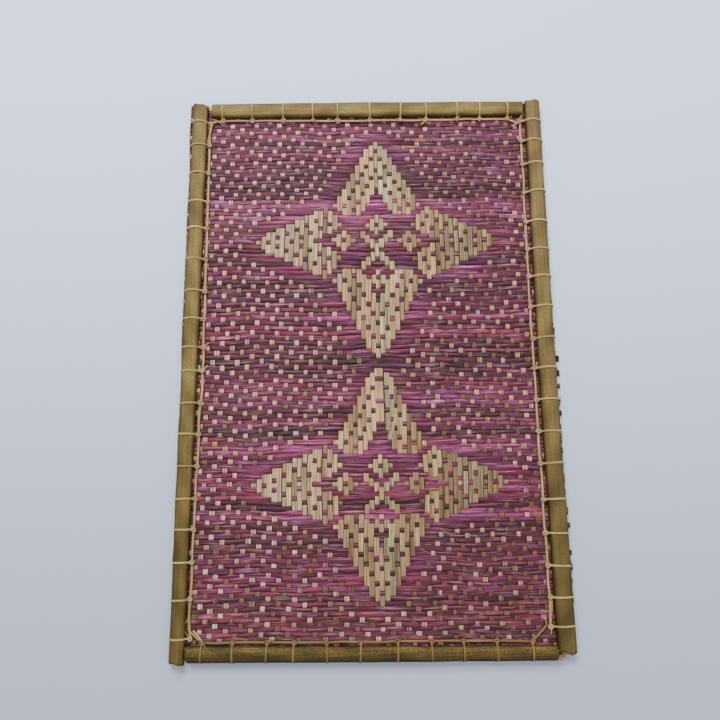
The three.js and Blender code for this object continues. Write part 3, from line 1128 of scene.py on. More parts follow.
    def weft_colours(self, x: np.ndarray) -> np.ndarray:
        """Works out the wefts' colours.

        A row's shade is drawn towards one common dye and made stronger. Each float has its own tone,
        whose powers make dark floats richer in hue, and is a little warmer or cooler. Towards the front,
        and most at the right, the colour is painted darker and browner, as light that falls off towards the
        front.

        Args:
            x: places across the mat as (rows, stations).

        Returns:
            The colours as (rows, stations, 3).
        """
        rows = np.arange(self.chart.rows)
        shades = [linear(*dye.value) for count, dye in DYE_BANDS for _ in range(count)]
        shades = (shades * 2)[: len(rows)]
        base = np.array(shades)[:, None, :] * np.ones((1, x.shape[1], 1))
        grey = base.mean(axis=-1, keepdims=True)
        common = linear(*Dye.PURPLE.value)
        base = base * (1.0 - self.dye_union) + self.dye_union * common * grey / common.mean()
        base = np.maximum(grey + (base - grey) * self.dye_strength, self.darkest_dye)
        dyed = ~self.natural.T
        tone = self.pieced(len(rows), x, self.weft_join_tone, self.weft_joins)
        tone = tone * self.float_tones(dyed, self.weft_float_tone)
        warm = self.pieced(len(rows), x, self.weft_join_warmth, self.weft_joins)
        warm = warm + self.float_tones(dyed, self.weft_float_warmth) - 2.0
        warm = np.clip(warm, *self.warmth)[..., None]
        tint = 1.0 + warm * np.array(self.warm_gain)
        # painted shade: light falls off towards the front, so the rows there are darker and browner, most at
        # the right
        front = self.front_shade_rows.at(rows)[:, None, None]
        front = front * (self.front_shade_least + self.front_shade_right.at(x)[..., None])
        brown = 1.0 - front * np.array(self.front_shade_loss)
        left = self.left_places.at(-x) * self.left_rows.at(rows[:, None])
        brown = brown * (1.0 - left[..., None] * np.array(self.left_loss))
        colour = base * tone[..., None] ** np.array(self.dye_powers) * tint * brown
        return colour * np.array(self.dye_tint) * self.dye_depth

    def warp_colours(self, x: np.ndarray, y: np.ndarray) -> np.ndarray:
        """Works out the warps' colours.

        Each straw is a blend of cream and tan with a greenish tinge near the stars' axis and at the
        right arm, and a dusty one beside the axis. The right half of the mat is a little duller, and the
        front is painted darker as light that falls off there. The greenish and dusty places are bell curves
        across the mat.

        Args:
            x: places across the mat as (columns, stations).
            y: places along the mat.

        Returns:
            The colours as (columns, stations, 3).
        """
        count = len(self.chart.columns)
        share = np.clip(self.source.normal(*self.tan_share, (count, 1)) + 0.0 * x, 0.0, 1.0)[..., None]
        column = self.chart.columns[:, None] + 0.0 * x
        share = np.where(column[..., None] == 0, self.tan_share_axis, share)
        colour = Straw.CREAM.light * (1.0 - share) + Straw.TAN.light * share
        greenish = self.greenish_axis.at(column) * (column > 0)
        for bell in self.greenish_places:
            greenish = greenish + bell.at(x)
        greenish = np.clip(greenish, 0.0, self.most_greenish)[..., None]
        colour = colour * (1.0 - greenish) + Straw.GREEN.light * greenish
        dusty = sum(bell.at(x) for bell in self.dusty_places)
        dusty = np.clip(self.dusty_share * dusty, 0.0, self.dusty_share)[..., None]
        colour = colour * (1.0 - dusty) + Straw.DUSTY.light * dusty
        pale = self.pale_left.at(-x)[..., None]
        colour = colour * (1.0 - pale) + Straw.PALE.light * pale
        tone = self.pieced(count, y, self.warp_join_tone, self.warp_joins)
        # painted falloff of light: the warps darken towards the front; the right half is a little duller
        tone = tone * (1.0 - self.dull_right.at(x)) * (1.0 - self.front_falloff_shade.at(-y))
        tone = tone * self.float_tones(self.natural, self.warp_float_tone)
        colour = colour * tone[..., None] * np.array(self.straw_tint)
        stained, bright = self.dot_tones(x, y)
        colour = colour * (1.0 - stained) + Straw.STAINED.light * stained
        colour = colour * (1.0 - bright) + self.bright_gain * Straw.BRIGHT.light * bright
        return colour * np.minimum(1.0, self.lightest / colour.max(axis=-1, keepdims=True))

    def dot_tones(self, x: np.ndarray, y: np.ndarray) -> tuple[np.ndarray, np.ndarray]:
        """Works out which single dots of the ground are stained and which are bright.

        A dot is a crossing whose two neighbours along the warp are both dyed. The share of stained
        dots grows towards the right and the front.

        Args:
            x: places across the mat as (columns, stations).
            y: places along the mat.

        Returns:
            How far each point is blended to the stained and to the bright colour.
        """
        shown = self.natural
        x, y = x[:, 1:-1:2], y[:, 1:-1:2]
        single = shown & ~np.roll(shown, 1, axis=1) & ~np.roll(shown, -1, axis=1)
        likely = self.stain_least + self.stain_right.at(x) + self.stain_front.at(-y)
        draw = self.source.uniform(0.0, 1.0, shown.shape)
        stained = single * np.clip((likely - draw) * self.stain_gain, 0.0, self.stain_most)
        bright = single * (draw > self.bright_from) * (self.bright_slope * draw - self.bright_from)
        bright = bright * (1.0 - self.bright_right.at(x))
        tones = []
        for amount in (stained, bright):
            wide = np.maximum.reduce([amount, np.roll(amount, 1, axis=1), np.roll(amount, -1, axis=1)])
            tones.append(self.doubled(wide)[..., None])
        return tones[0], tones[1]

    def wefts(self) -> Shell:
        """Works out the dyed wefts.

        Returns:
            Their shell.
        """
        rows = np.arange(self.chart.rows)
        stations = self.stations(self.chart.columns)
        row = rows[:, None] + np.zeros((1, len(stations)))
        straight_y = np.interp(row, self.row_marks, self.row_places)
        x = self.column_x(stations[None, :] + 0.0 * row, straight_y)
        x[:, 0] = self.left_end + self.source.normal(0.0, self.left_ends_rough, len(rows))
        stray = self.stray_length * np.abs(self.source.normal(0.0, 1.0, len(rows)))
        stray = stray * (rows % self.stray_every == 1) * self.stray_rows.at(-straight_y[:, -1])
        square = self.right_end - self.right_taper * straight_y[:, -1] / self.back_end
        x[:, -1] = square + self.source.normal(0.0, self.right_ends_rough, len(rows)) + stray
        y = self.row_y(row, x)
        over = 1.0 - self.doubled(self.natural.T.astype(float))
        wobble = self.weft_wobble.draw(self.source, x, row)
        wobble = wobble + self.source.normal(0.0, self.weft_lift, (len(rows), 1)) * (over > 0.9)
        level = self.levels(over, self.weft_levels, self.border_weft, self.pressed(x, y))
        z = np.maximum(level + wobble, self.lowest_weft)
        swell = self.weft_swell.draw(self.source, x, row)
        ripple = self.weft_ripple.draw(self.source, x, row)
        dive = self.near_dive(over)
        narrowed = self.weft_fullness - self.weft_narrowing * dive * (over > 0.5)
        width = self.row_widths[:, None] * (1.0 + swell + ripple) * narrowed
        path = np.stack([x, y + self.lean(x, y), z], axis=-1)
        roll = np.clip(self.weft_roll.draw(self.source, x, row), -self.most_roll, self.most_roll)
        side = np.stack([0.0 * roll, np.cos(roll), np.sin(roll)], axis=-1)
        shell = Shell("straw_wefts")
        self.strips(shell, path, width, side, self.weft_colours(x), self.weft_dive_shade * dive, 0.0)
        return shell

    def warps(self) -> Shell:
        """Works out the natural warps and the loose fibres.

        Returns:
            Their shell.
        """
        columns = self.chart.columns
        stations = self.stations(np.arange(self.chart.rows))
        column = columns[:, None] + np.zeros((1, len(stations)))
        straight_x = self.axis + self.left_pitch * column
        y = self.row_y(stations[None, :] + 0.0 * column, straight_x)
        y[:, 0] = self.back_end + self.source.normal(0.0, self.back_ends_rough, len(columns))
        y[:, -1] = self.front_end + self.source.normal(0.0, self.front_ends_rough, len(columns))
        x = self.column_x(column, y)
        over = self.doubled(self.natural.astype(float))
        z = self.levels(over, self.warp_levels, self.border_warp, self.pressed(x, y))
        swell = self.warp_swell.draw(self.source, y, column)
        dive = self.near_dive(over)
        width = self.column_widths[:, None] * (1.0 + swell) * (1.0 - self.warp_narrowing * dive)
        pair = self.pair_width * (column == 0) - self.squeezed_width * (column == self.squeezed_column)
        width = width + self.paired(y) * pair
        path = np.stack([x, y + self.lean(x, y), z], axis=-1)
        side = np.array([-1.0, 0.0, 0.0])
        shell = Shell("straw_warps")
        dark = self.warp_dive_shade * dive
        self.strips(shell, path, width, side, self.warp_colours(x, y), dark, self.warp_number)
        self.loose_fibres.add(shell)
        return shell

    def build(self) -> list[bpy.types.Object]:
        """Builds the two pieces of the sheet.

        Returns:
            The wefts and the warps.
        """
        wefts, warps = self.wefts(), self.warps()
        return [wefts.build(DYED_STRAW.material()), warps.build(NATURAL_STRAW.material())]


class Side(Enum):
    """A side of the frame: the direction in which it runs, and the direction out of the mat."""

    LEFT = ((0.0, 1.0, 0.0), (-1.0, 0.0, 0.0))
    RIGHT = ((0.0, 1.0, 0.0), (1.0, 0.0, 0.0))
    BACK = ((1.0, 0.0, 0.0), (0.0, 1.0, 0.0))
    FRONT = ((1.0, 0.0, 0.0), (0.0, -1.0, 0.0))

    @property
    def run(self) -> np.ndarray:
        """Returns the direction along the side."""
        return np.array(self.value[0])

    @property
    def outward(self) -> np.ndarray:
        """Returns the direction out of the mat."""
        return np.array(self.value[1])

    def place(self, along: np.ndarray, out: np.ndarray, height: np.ndarray) -> np.ndarray:
        """Returns points from their places along the side, outwards from the middle, and upwards."""
        along, out, height = np.broadcast_arrays(along, out, height)
        return along[..., None] * self.run + out[..., None] * self.outward + height[..., None] * UP


@dataclass(frozen=True)
class Fan:
    """The loose fibres at a torn end of a cane: which end, how many, how long, and over which part of it."""

    end: int
    count: int
    length: float
    inmost: float
    outmost: float


@dataclass
class Cane:
    """A split cane: flat beneath, with short sides and a low round crown.

    Its section is the flat base, two straight sides and a crown whose height is the sine to a power
    below 1, which is flatter than half an ellipse. The width waves a little, the skin has low ridges
    along it, and each end is cut at a slant and is rough. Marks are places along the cane, and its
    centres and widths are given at them. The roughness and the slant are those of its two ends.
    """

    side: Side
    node: str
    finish: FibreFinish
    marks: tuple[float, float, float]
    centres: tuple[float, float, float]
    widths: tuple[float, float, float]
    slants: tuple[float, float]
    roughs: tuple[float, float]
    colours: tuple[np.ndarray, np.ndarray]
    tint: tuple[float, float, float]
    lean: float
    fans: tuple[Fan, ...] = ()
    base: float = 2.5
    side_height: float = 2.0
    crown: float = 4.0
    crown_power: float = 0.66
    cut_sharpness: int = 24
    tip_size: float = 0.72
    stations: int = 240
    crown_points: int = 30
    front_light_falloff: Slope = Slope(-40.0, 210.0)
    front_shade_loss: tuple[float, float, float] = (0.46, 0.47, 0.62)
    painted_light_powers: tuple[float, float, float] = (1.0, 1.05, 1.3)
    blend_crown: float = 0.62
    side_shade_blend: float = 0.25
    blend_ripple: Ripple = Ripple(0.24, (96.0, 53.0, 31.0), 2.0, 1.2)
    spot: Bell = Bell(84.0, 500.0)
    spot_share: float = 0.14
    spot_colour: tuple[float, float, float] = (140, 88, 62)
    edge_shade_power: int = 6
    tip_tone: float = 0.8
    tip_edge: float = 0.1
    jag_height: float = 1.4
    jag_turns: float = 5.0
    width_ripple: Ripple = Ripple(0.012, (140.0, 77.0, 43.0), 1.0, 0.0)
    ridges: Ripple = Ripple(0.03, (190.0, 120.0, 75.0, 50.0), 9.0, 1.0)
    crown_ripple: Ripple = Ripple(0.03, (120.0, 66.0), 1.0, 0.0)
    leaf_ring: Bell = Bell(-124.0, 5.0, 0.07)
    base_lay: float = 5.0
    first_number: float = 900.0
    shape_seed_step: int = 7
    shade_seed: int = 40
    splinter_size: tuple[float, float] = (0.6, 0.4)
    splinter_stations: int = 7
    splinter_levels: tuple[float, float] = (0.4, 4.2)
    splinter_root: float = 2.0
    splinter_reach: tuple[float, float] = (0.35, 1.0)
    splinter_spread: float = 0.7
    splinter_fall: tuple[float, float, float] = (0.0, 0.4, 1.6)
    splinter_tip: float = 0.25
    splinter_pale: tuple[float, float, float] = (206, 178, 116)
    splinter_brown: tuple[float, float, float] = (140, 110, 60)
    splinter_tones: tuple[float, float] = (0.7, 1.1)

    def centre(self, along: np.ndarray) -> np.ndarray:
        """Returns the distance of the cane's middle from the mat's middle."""
        return np.interp(along, self.marks, self.centres)

    def width(self, along: np.ndarray) -> np.ndarray:
        """Returns the cane's width."""
        return np.interp(along, self.marks, self.widths)

    def shade(self, along: np.ndarray, angle: np.ndarray) -> np.ndarray:
        """Works out the skin's colour.

        The crown has the lighter colour, and its sides are blended towards the darker one as painted shade
        where the round crown turns away. Slow waves along the cane shift the blend. The lean paints light on
        one side of the cane and shade on the other. The front cane has one redder spot, and the side canes
        are painted darker towards the front, as light that falls off there.

        Args:
            along: places along the cane as (stations, 1).
            angle: places over the crown as (around,), -1 and 1 at the sides.

        Returns:
            Colour and edge darkness as (stations, around, 4).
        """
        source = np.random.default_rng(len(self.node) + self.shade_seed)
        slow = self.blend_ripple.draw(source, along, angle)
        # painted shade: the crown's sides are blended towards the darker colour
        blend = self.blend_crown - self.side_shade_blend * np.abs(angle) ** 3 + slow
        blend = np.clip(blend, 0.0, 1.0)[..., None]
        colour = self.colours[0] * (1.0 - blend) + self.colours[1] * blend
        if self.side is Side.FRONT:
            spot = (self.spot.at(along) * (1.0 - np.abs(angle)) * self.spot_share)[..., None]
            colour = colour * (1.0 - spot) + linear(*self.spot_colour) * spot
        if self.side in (Side.LEFT, Side.RIGHT):
            # painted falloff of light: the side canes are darker towards the front
            colour = colour * (1.0 - self.front_light_falloff.at(-along)[..., None] * np.array(self.front_shade_loss))
        # painted light and shade: one side of the cane is lighter than the other, as the light falls
        lit = np.exp(self.lean * angle)[..., None] ** np.array(self.painted_light_powers)
        colour = colour * lit * np.array(self.tint)
        # painted shade at the crown's edges, kept in the alpha
        edge = np.clip(np.abs(angle) ** self.edge_shade_power + 0.0 * along, 0.0, 1.0)[..., None]
        return np.concatenate([colour, edge], axis=-1)

    def cut(
        self, along: np.ndarray, across: np.ndarray, turned: float, source: np.random.Generator
    ) -> np.ndarray:
        """Moves the stations near each end along the cane, so that the end is slanting and rough.

        The move is the slant times the place across, plus a jagged line, both times a high power of the
        distance from the cane's middle, which leaves only the last stretch moved.

        Args:
            along: places along the cane as (stations, 1).
            across: places over the section as (around,), -1 and 1 at the sides.
            turned: 1 or -1, which way the section faces.
            source: the cane's source of random numbers.

        Returns:
            The moved places as (stations, around).
        """
        low, high = self.marks[0], self.marks[-1]
        slant = self.slants[0] + (self.slants[1] - self.slants[0]) * (along - low) / (high - low)
        near = np.abs((along - (low + high) / 2.0) / ((high - low) / 2.0)) ** self.cut_sharpness
        rough = np.where(along < 0, self.roughs[0], self.roughs[1])
        jag = source.normal(0.0, 1.0, across.size)
        jag = jag + self.jag_height * np.sin(self.jag_turns * across + source.uniform(0.0, 6.0))
        return along + near * (slant * across * turned + rough * jag * np.sign(along))

    def build(self) -> bpy.types.Object:
        """Builds the cane.

        Returns:
            The cane's object.
        """
        source = np.random.default_rng(len(self.node) * self.shape_seed_step)
        theta = np.linspace(0.0, np.pi, self.crown_points)
        across = np.concatenate([[-1.0, 1.0], np.cos(theta)])
        height = np.concatenate([[0.0, 0.0], np.abs(np.sin(theta)) ** self.crown_power])
        wall = np.concatenate([[0.0, 0.0], np.ones(self.crown_points)])
        along = np.linspace(self.marks[0], self.marks[-1], self.stations)[:, None]
        turned = 1.0 if np.cross(UP, self.side.run) @ self.side.outward > 0 else -1.0
        shifted = self.cut(along, across, turned, source)
        straight = np.zeros((1, 1))
        half = self.width(along) / 2.0 * (1.0 + self.width_ripple.draw(source, along, straight))
        pinch = 1.0 - self.ridges.draw(source, along, across[None, :]) * height
        crown = self.crown * (1.0 + self.crown_ripple.draw(source, along, straight))
        if self.side is Side.BACK:
            crown = crown * self.leaf_scar(along)
        out = self.centre(along) + half * across * pinch * turned
        level = self.base + self.side_height * wall + crown * height * pinch
        grid = self.side.place(shifted, out, level)
        middle = grid.mean(axis=1, keepdims=True)
        tip = middle + (grid - middle) * self.tip_size
        grid = np.concatenate([tip[:1], grid, tip[-1:]])
        stops = np.concatenate([along[:1], along, along[-1:]])
        shade = self.shade(stops, across)
        shade[[0, -1]] = [*(self.colours[1] * self.tip_tone * np.array(self.tint)), self.tip_edge]
        arc = across * self.widths[1] / 2.0 + self.base_lay * (1.0 - wall)
        number = self.first_number + self.shape_seed_step * len(self.node)
        lay = np.stack(np.broadcast_arrays(stops, arc, number), axis=-1)
        shell = Shell(self.node.replace("cane", "split_cane"))
        shell.add(grid[None], shade[None], lay[None])
        self.splinters(shell, source)
        return shell.build(self.finish.material())

    def leaf_scar(self, along: np.ndarray) -> np.ndarray:
        """Returns how much the crown swells at the low ring where a leaf grew: a narrow bell curve."""
        return 1.0 + self.leaf_ring.at(along)

    def splinters(self, shell: Shell, source: np.random.Generator) -> None:
        """Adds the loose fibres at a torn end: short thin tubes that leave the end in a fan.

        Args:
            shell: the shell that they join.
            source: the cane's source of random numbers.
        """
        outline = flat_section(*self.splinter_size, 5)
        taper = np.linspace(1.0, self.splinter_tip, self.splinter_stations)[None, :, None, None]
        for fan in self.fans:
            sign = -1.0 if fan.end == 0 else 1.0
            for step in range(fan.count):
                out = self.centres[fan.end] + self.widths[fan.end] * source.uniform(fan.inmost, fan.outmost)
                level = self.base + source.uniform(*self.splinter_levels)
                start = self.marks[fan.end] - sign * self.splinter_root
                reach = fan.length * source.uniform(*self.splinter_reach) + self.splinter_root
                spread = source.normal(0.0, self.splinter_spread)
                path = eased(self.side.place(
                    start + sign * reach * np.array([0.0, 0.5, 1.0]),
                    out + spread * np.array([0.0, 0.3, 1.0]),
                    np.maximum(level - np.array(self.splinter_fall), self.base + 0.1),
                ), self.splinter_stations)
                grid = carried(path[None], np.cross(UP, self.side.run), taper * outline)
                pale = out > 0.0 and step % 3
                tone = linear(*(self.splinter_pale if pale else self.splinter_brown))
                shade = np.array([*(tone * source.uniform(*self.splinter_tones)), 0.1])
                shell.add(grid, shade, np.array([3.0 * step, 0.0, 40.0 + step]))


@dataclass(frozen=True)
class LooseEnd:
    """A short loose piece of strand: its width, its tone, and the points that it passes."""

    width: float
    tone: float
    points: tuple[tuple[float, float, float], ...]


@dataclass
class Lacing:
    """The pale strand along one side, with a wrap over the cane and a small hitch at every stitch.

    The strand is a flat oval carried along a wavy line. A wrap leaves the hitch, climbs the cane's
    inner side, follows an ellipse just above its crown, goes down outside, and returns under the mat.
    Stitches are places along the side. The line's distance from the mat's middle is given at its marks.
    """

    side: Side
    cane: Cane
    node: str
    stitches: tuple[float, ...]
    line_marks: tuple[float, ...]
    line_offsets: tuple[float, ...]
    run_outs: tuple[tuple[tuple[float, float], ...], ...]
    loose: tuple[LooseEnd, ...]
    colours: tuple[np.ndarray, np.ndarray]
    mat_edge: float
    level: float = 3.0
    strand_size: tuple[float, float] = (2.1, 0.8)
    run_out_size: tuple[float, float] = (1.9, 0.75)
    loose_thickness: float = 0.7
    wrap_size: tuple[float, float] = (1.8, 0.65)
    wrap_gap: float = 0.42
    edge_gap: float = 0.55
    loop_size: tuple[float, float] = (1.35, 0.75)
    loop_reach: tuple[float, float] = (1.45, 1.5)
    loop_turn: float = 2.15
    loop_slip: float = 0.25
    loop_offset: float = 0.1
    loop_level: float = 0.95
    loop_tilt: float = 0.3
    loop_climb: float = 0.25
    tail_size: tuple[float, float] = (1.1, 0.5)
    tail_reach: tuple[float, float] = (1.6, 2.7)
    tail_offset: float = 0.2
    tail_level: float = 0.75
    tail_rise: float = 0.35
    tail_tone: float = 0.2
    stretch_overlap: float = 1.2
    stretch_bow: float = 0.35
    stretch_lift: float = 0.25
    stretch_widths: tuple[float, float] = (0.9, 1.12)
    stretch_tone: float = 0.08
    run_out_lift: float = 0.3
    loose_tone: float = 0.1
    wrap_widths: tuple[float, float] = (0.9, 1.15)
    wrap_slip: float = 0.5
    wrap_arc: tuple[float, float] = (0.96, 0.04)
    colour_turn: Slope = Slope(-70.0, 20.0)
    green_spread: float = 0.18
    most_green: float = 0.5
    green_loss: tuple[float, float, float] = (0.3, 0.06, 0.2)
    tones: tuple[float, float] = (0.6, 1.3)
    edge_shade: float = 0.8
    under_shade: float = 0.2
    seed_step: int = 13

    def line(self, along: np.ndarray) -> np.ndarray:
        """Returns the strand's distance from the mat's middle."""
        return np.interp(along, self.line_marks, self.line_offsets)

    def tinted(self, source: np.random.Generator, along: float, spread: float = 0.12) -> np.ndarray:
        """Works out the strand's colour at a place: the blend of its two colours there, times a random tone.

        Args:
            source: the lacing's source of random numbers.
            along: the place along the side.
            spread: how much the tone varies.

        Returns:
            The colour, here and there a little greener, with no edge darkness.
        """
        share = self.colour_turn.at(np.array(along))
        colour = self.colours[0] * (1.0 - share) + self.colours[1] * share
        green = np.clip(source.normal(0.0, self.green_spread), 0.0, self.most_green)
        green = green * np.array(self.green_loss)
        tone = np.clip(source.normal(1.0, spread), *self.tones)
        return np.array([*(colour * tone * (1.0 - green)), 0.0])

    def ribbon(
        self, shell: Shell, path: np.ndarray, size: tuple[float, float], side: np.ndarray, shade: np.ndarray
    ) -> None:
        """Adds one flat strand along a path.

        Args:
            shell: the shell that it joins.
            path: its centre line as (stations, 3).
            size: its width and thickness.
            side: the direction across it, one for all or one for each station.
            shade: its colour.
        """
        outline = flat_section(*size)
        grid = carried(path[None], side, outline)
        steps = np.concatenate([[0.0], np.cumsum(np.linalg.norm(np.diff(path, axis=0), axis=1))])
        edge = np.abs(outline[:, 0]) / (size[0] / 2.0)
        shades = np.broadcast_to(shade, (1, len(path), len(outline), 4)).copy()
        shades[..., 3] = edge ** 2 * self.edge_shade + (outline[:, 1] < 0) * self.under_shade
        own = float(path[0, 0] * 3.1 + path[0, 1] * 1.7)
        lay = np.stack(np.broadcast_arrays(steps[None, :, None], outline[:, 0], own), axis=-1)
        shell.add(grid, shades, lay)

    def strand(self, shell: Shell, source: np.random.Generator) -> None:
        """Adds the running strand, one stretch from each stitch to the next, its run-outs and loose ends.

        A stretch bows to one side and lifts a little, both as half a sine wave.

        Args:
            shell: the shell that they join.
            source: the lacing's source of random numbers.
        """
        across = np.cross(UP, self.side.run)
        places = np.sort(np.array(self.stitches))
        for low, high in zip(places[:-1], places[1:]):
            along = np.linspace(low - self.stretch_overlap, high + self.stretch_overlap, 24)
            hump = np.sin(np.pi * np.clip((along - low) / (high - low), 0.0, 1.0))
            bow = source.normal(0.0, self.stretch_bow) * hump
            path = self.side.place(along, self.line(along) + bow, self.level + self.stretch_lift * hump)
            width = self.strand_size[0] * source.uniform(*self.stretch_widths)
            shade = self.tinted(source, low, self.stretch_tone)
            self.ribbon(shell, path, (width, self.strand_size[1]), across, shade)
        for points in self.run_outs:
            path = eased([(x, y, self.level + self.run_out_lift) for x, y in points], 14)
            turn = np.cross(UP, path[-1] - path[0])
            self.ribbon(shell, path, self.run_out_size, turn, self.tinted(source, path[0] @ self.side.run))
        for end in self.loose:
            path = eased(end.points, 26, 4)
            turn = np.cross(UP, np.gradient(path, axis=0))[None]
            shade = self.tinted(source, path[0] @ self.side.run, self.loose_tone) * end.tone
            thickness = self.loose_thickness * min(1.0, end.width)
            self.ribbon(shell, path, (end.width, thickness), turn, shade)

    def wrap(self, shell: Shell, source: np.random.Generator, stitch: float) -> None:
        """Adds the wrap at one stitch: two points climbing from the line, an arc over, and a way back under.

        Args:
            shell: the shell that it joins.
            source: the lacing's source of random numbers.
            stitch: the stitch's place along the side.
        """
        inner = float(self.line(np.array(stitch)))
        centre = float(self.cane.centre(np.array(stitch)))
        half = float(self.cane.width(np.array(stitch))) / 2.0 + self.wrap_gap
        outer = max(centre + half, self.mat_edge + self.edge_gap)
        foot = self.cane.base + self.cane.side_height
        crown = self.cane.crown + self.wrap_gap
        theta = np.linspace(np.pi * self.wrap_arc[0], np.pi * self.wrap_arc[1], 17)
        up_out, up_level = [inner - 0.6, inner + 0.4], [3.5, 4.0]
        under_out, under_level = [outer, outer, outer - 0.4, inner + 0.8, inner], [3.4, 1.3, 0.6, 0.55, 1.6]
        out = np.concatenate([up_out, centre + half * np.cos(theta), under_out])
        level = np.concatenate([up_level, foot + crown * np.sin(theta), under_level])
        slip = np.clip((out - inner) / (outer - inner), 0.0, 1.0) * source.normal(0.0, self.wrap_slip)
        path = eased(self.side.place(stitch + slip, out, level), 46, 2)
        width = self.wrap_size[0] * source.uniform(*self.wrap_widths)
        across = np.cross(UP, self.side.outward)
        self.ribbon(shell, path, (width, self.wrap_size[1]), across, self.tinted(source, stitch))

    def hitch(self, shell: Shell, source: np.random.Generator, stitch: float) -> None:
        """Adds the small loop round the strand at one stitch, and the cut end that pokes out of it.

        The loop is an ellipse about the stitch, a little more than one turn, that tilts and climbs a little.

        Args:
            shell: the shell that they join.
            source: the lacing's source of random numbers.
            stitch: the stitch's place along the side.
        """
        inner = float(self.line(np.array(stitch)))
        phase = source.uniform(0.0, 2.0 * np.pi)
        angle = np.linspace(0.0, self.loop_turn * np.pi, 26) + phase
        along = stitch + self.loop_reach[0] * np.cos(angle) + source.normal(0.0, self.loop_slip)
        out = inner + self.loop_offset + self.loop_reach[1] * np.sin(angle)
        level = self.level + self.loop_level + self.loop_tilt * np.cos(angle - phase)
        level = level + np.linspace(0.0, self.loop_climb, len(angle))
        path = self.side.place(along, out, level)
        turn = np.cross(UP, np.gradient(path, axis=0))[None]
        self.ribbon(shell, path, self.loop_size, turn, self.tinted(source, stitch))
        heading = source.uniform(0.0, 2.0 * np.pi)
        reach = source.uniform(*self.tail_reach)
        steps = np.linspace(0.0, 1.0, 6)
        tail = self.side.place(
            stitch + reach * np.cos(heading) * steps,
            inner + reach * np.sin(heading) * steps - self.tail_offset,
            self.level + self.tail_level + self.tail_rise * steps,
        )
        turn = np.cross(UP, tail[-1] - tail[0])
        self.ribbon(shell, tail, self.tail_size, turn, self.tinted(source, stitch, self.tail_tone))

    def build(self) -> bpy.types.Object:
        """Builds the lacing.

        Returns:
            Its object.
        """
        source = np.random.default_rng(len(self.node) * self.seed_step + len(self.stitches))
        shell = Shell(self.node.replace("lacing", "cane_lacing"))
        self.strand(shell, source)
        for stitch in self.stitches:
            self.wrap(shell, source, stitch)
            self.hitch(shell, source, stitch)
        return shell.build(PALE_STRAND.material())


def canes() -> list[Cane]:
    """Lists the canes of the frame.

    Returns:
        The left, the right, the back and the front cane.
    """
    olive = (linear(84, 70, 30), linear(136, 119, 70))
    brown = (linear(52, 41, 17), linear(90, 75, 33))
    return [
        Cane(
            Side.LEFT, "cane_left", OLIVE_CANE, marks=(-226.0, 0.0, 224.6), centres=(144.7, 143.25, 141.9),
            widths=(11.0, 12.5, 12.7), slants=(1.2, 0.9), roughs=(0.12, 0.1), colours=olive,
            tint=(0.82, 0.77, 0.66), lean=-0.22,
        ),
        Cane(
            Side.RIGHT, "cane_right", OLIVE_CANE, marks=(-221.3, 0.0, 226.0), centres=(143.1, 141.95, 143.4),
            widths=(14.0, 13.5, 12.8), slants=(-0.8, 0.3), roughs=(0.6, 0.3), colours=olive,
            tint=(0.8, 0.73, 0.69), lean=0.0, fans=(Fan(0, 26, 1.8, -0.5, 0.4),),
        ),
        Cane(
            Side.BACK, "cane_back", OLIVE_CANE, marks=(-131.7, 0.0, 134.5), centres=(219.7, 220.0, 219.9),
            widths=(12.0, 13.0, 12.0), slants=(0.5, 0.4), roughs=(0.15, 0.1), colours=olive,
            tint=(0.92, 0.86, 0.76), lean=-0.35,
        ),
        Cane(
            Side.FRONT, "cane_front", BROWN_CANE, marks=(-137.6, 0.0, 135.2), centres=(219.8, 221.0, 221.5),
            widths=(11.5, 11.0, 10.5), slants=(0.8, -0.3), roughs=(0.5, 0.4), colours=brown,
            tint=(0.95, 0.92, 0.82), lean=0.65,
            fans=(Fan(0, 12, 3.0, -0.42, 0.42), Fan(-1, 40, 9.5, -0.1, 0.46)),
        ),
    ]


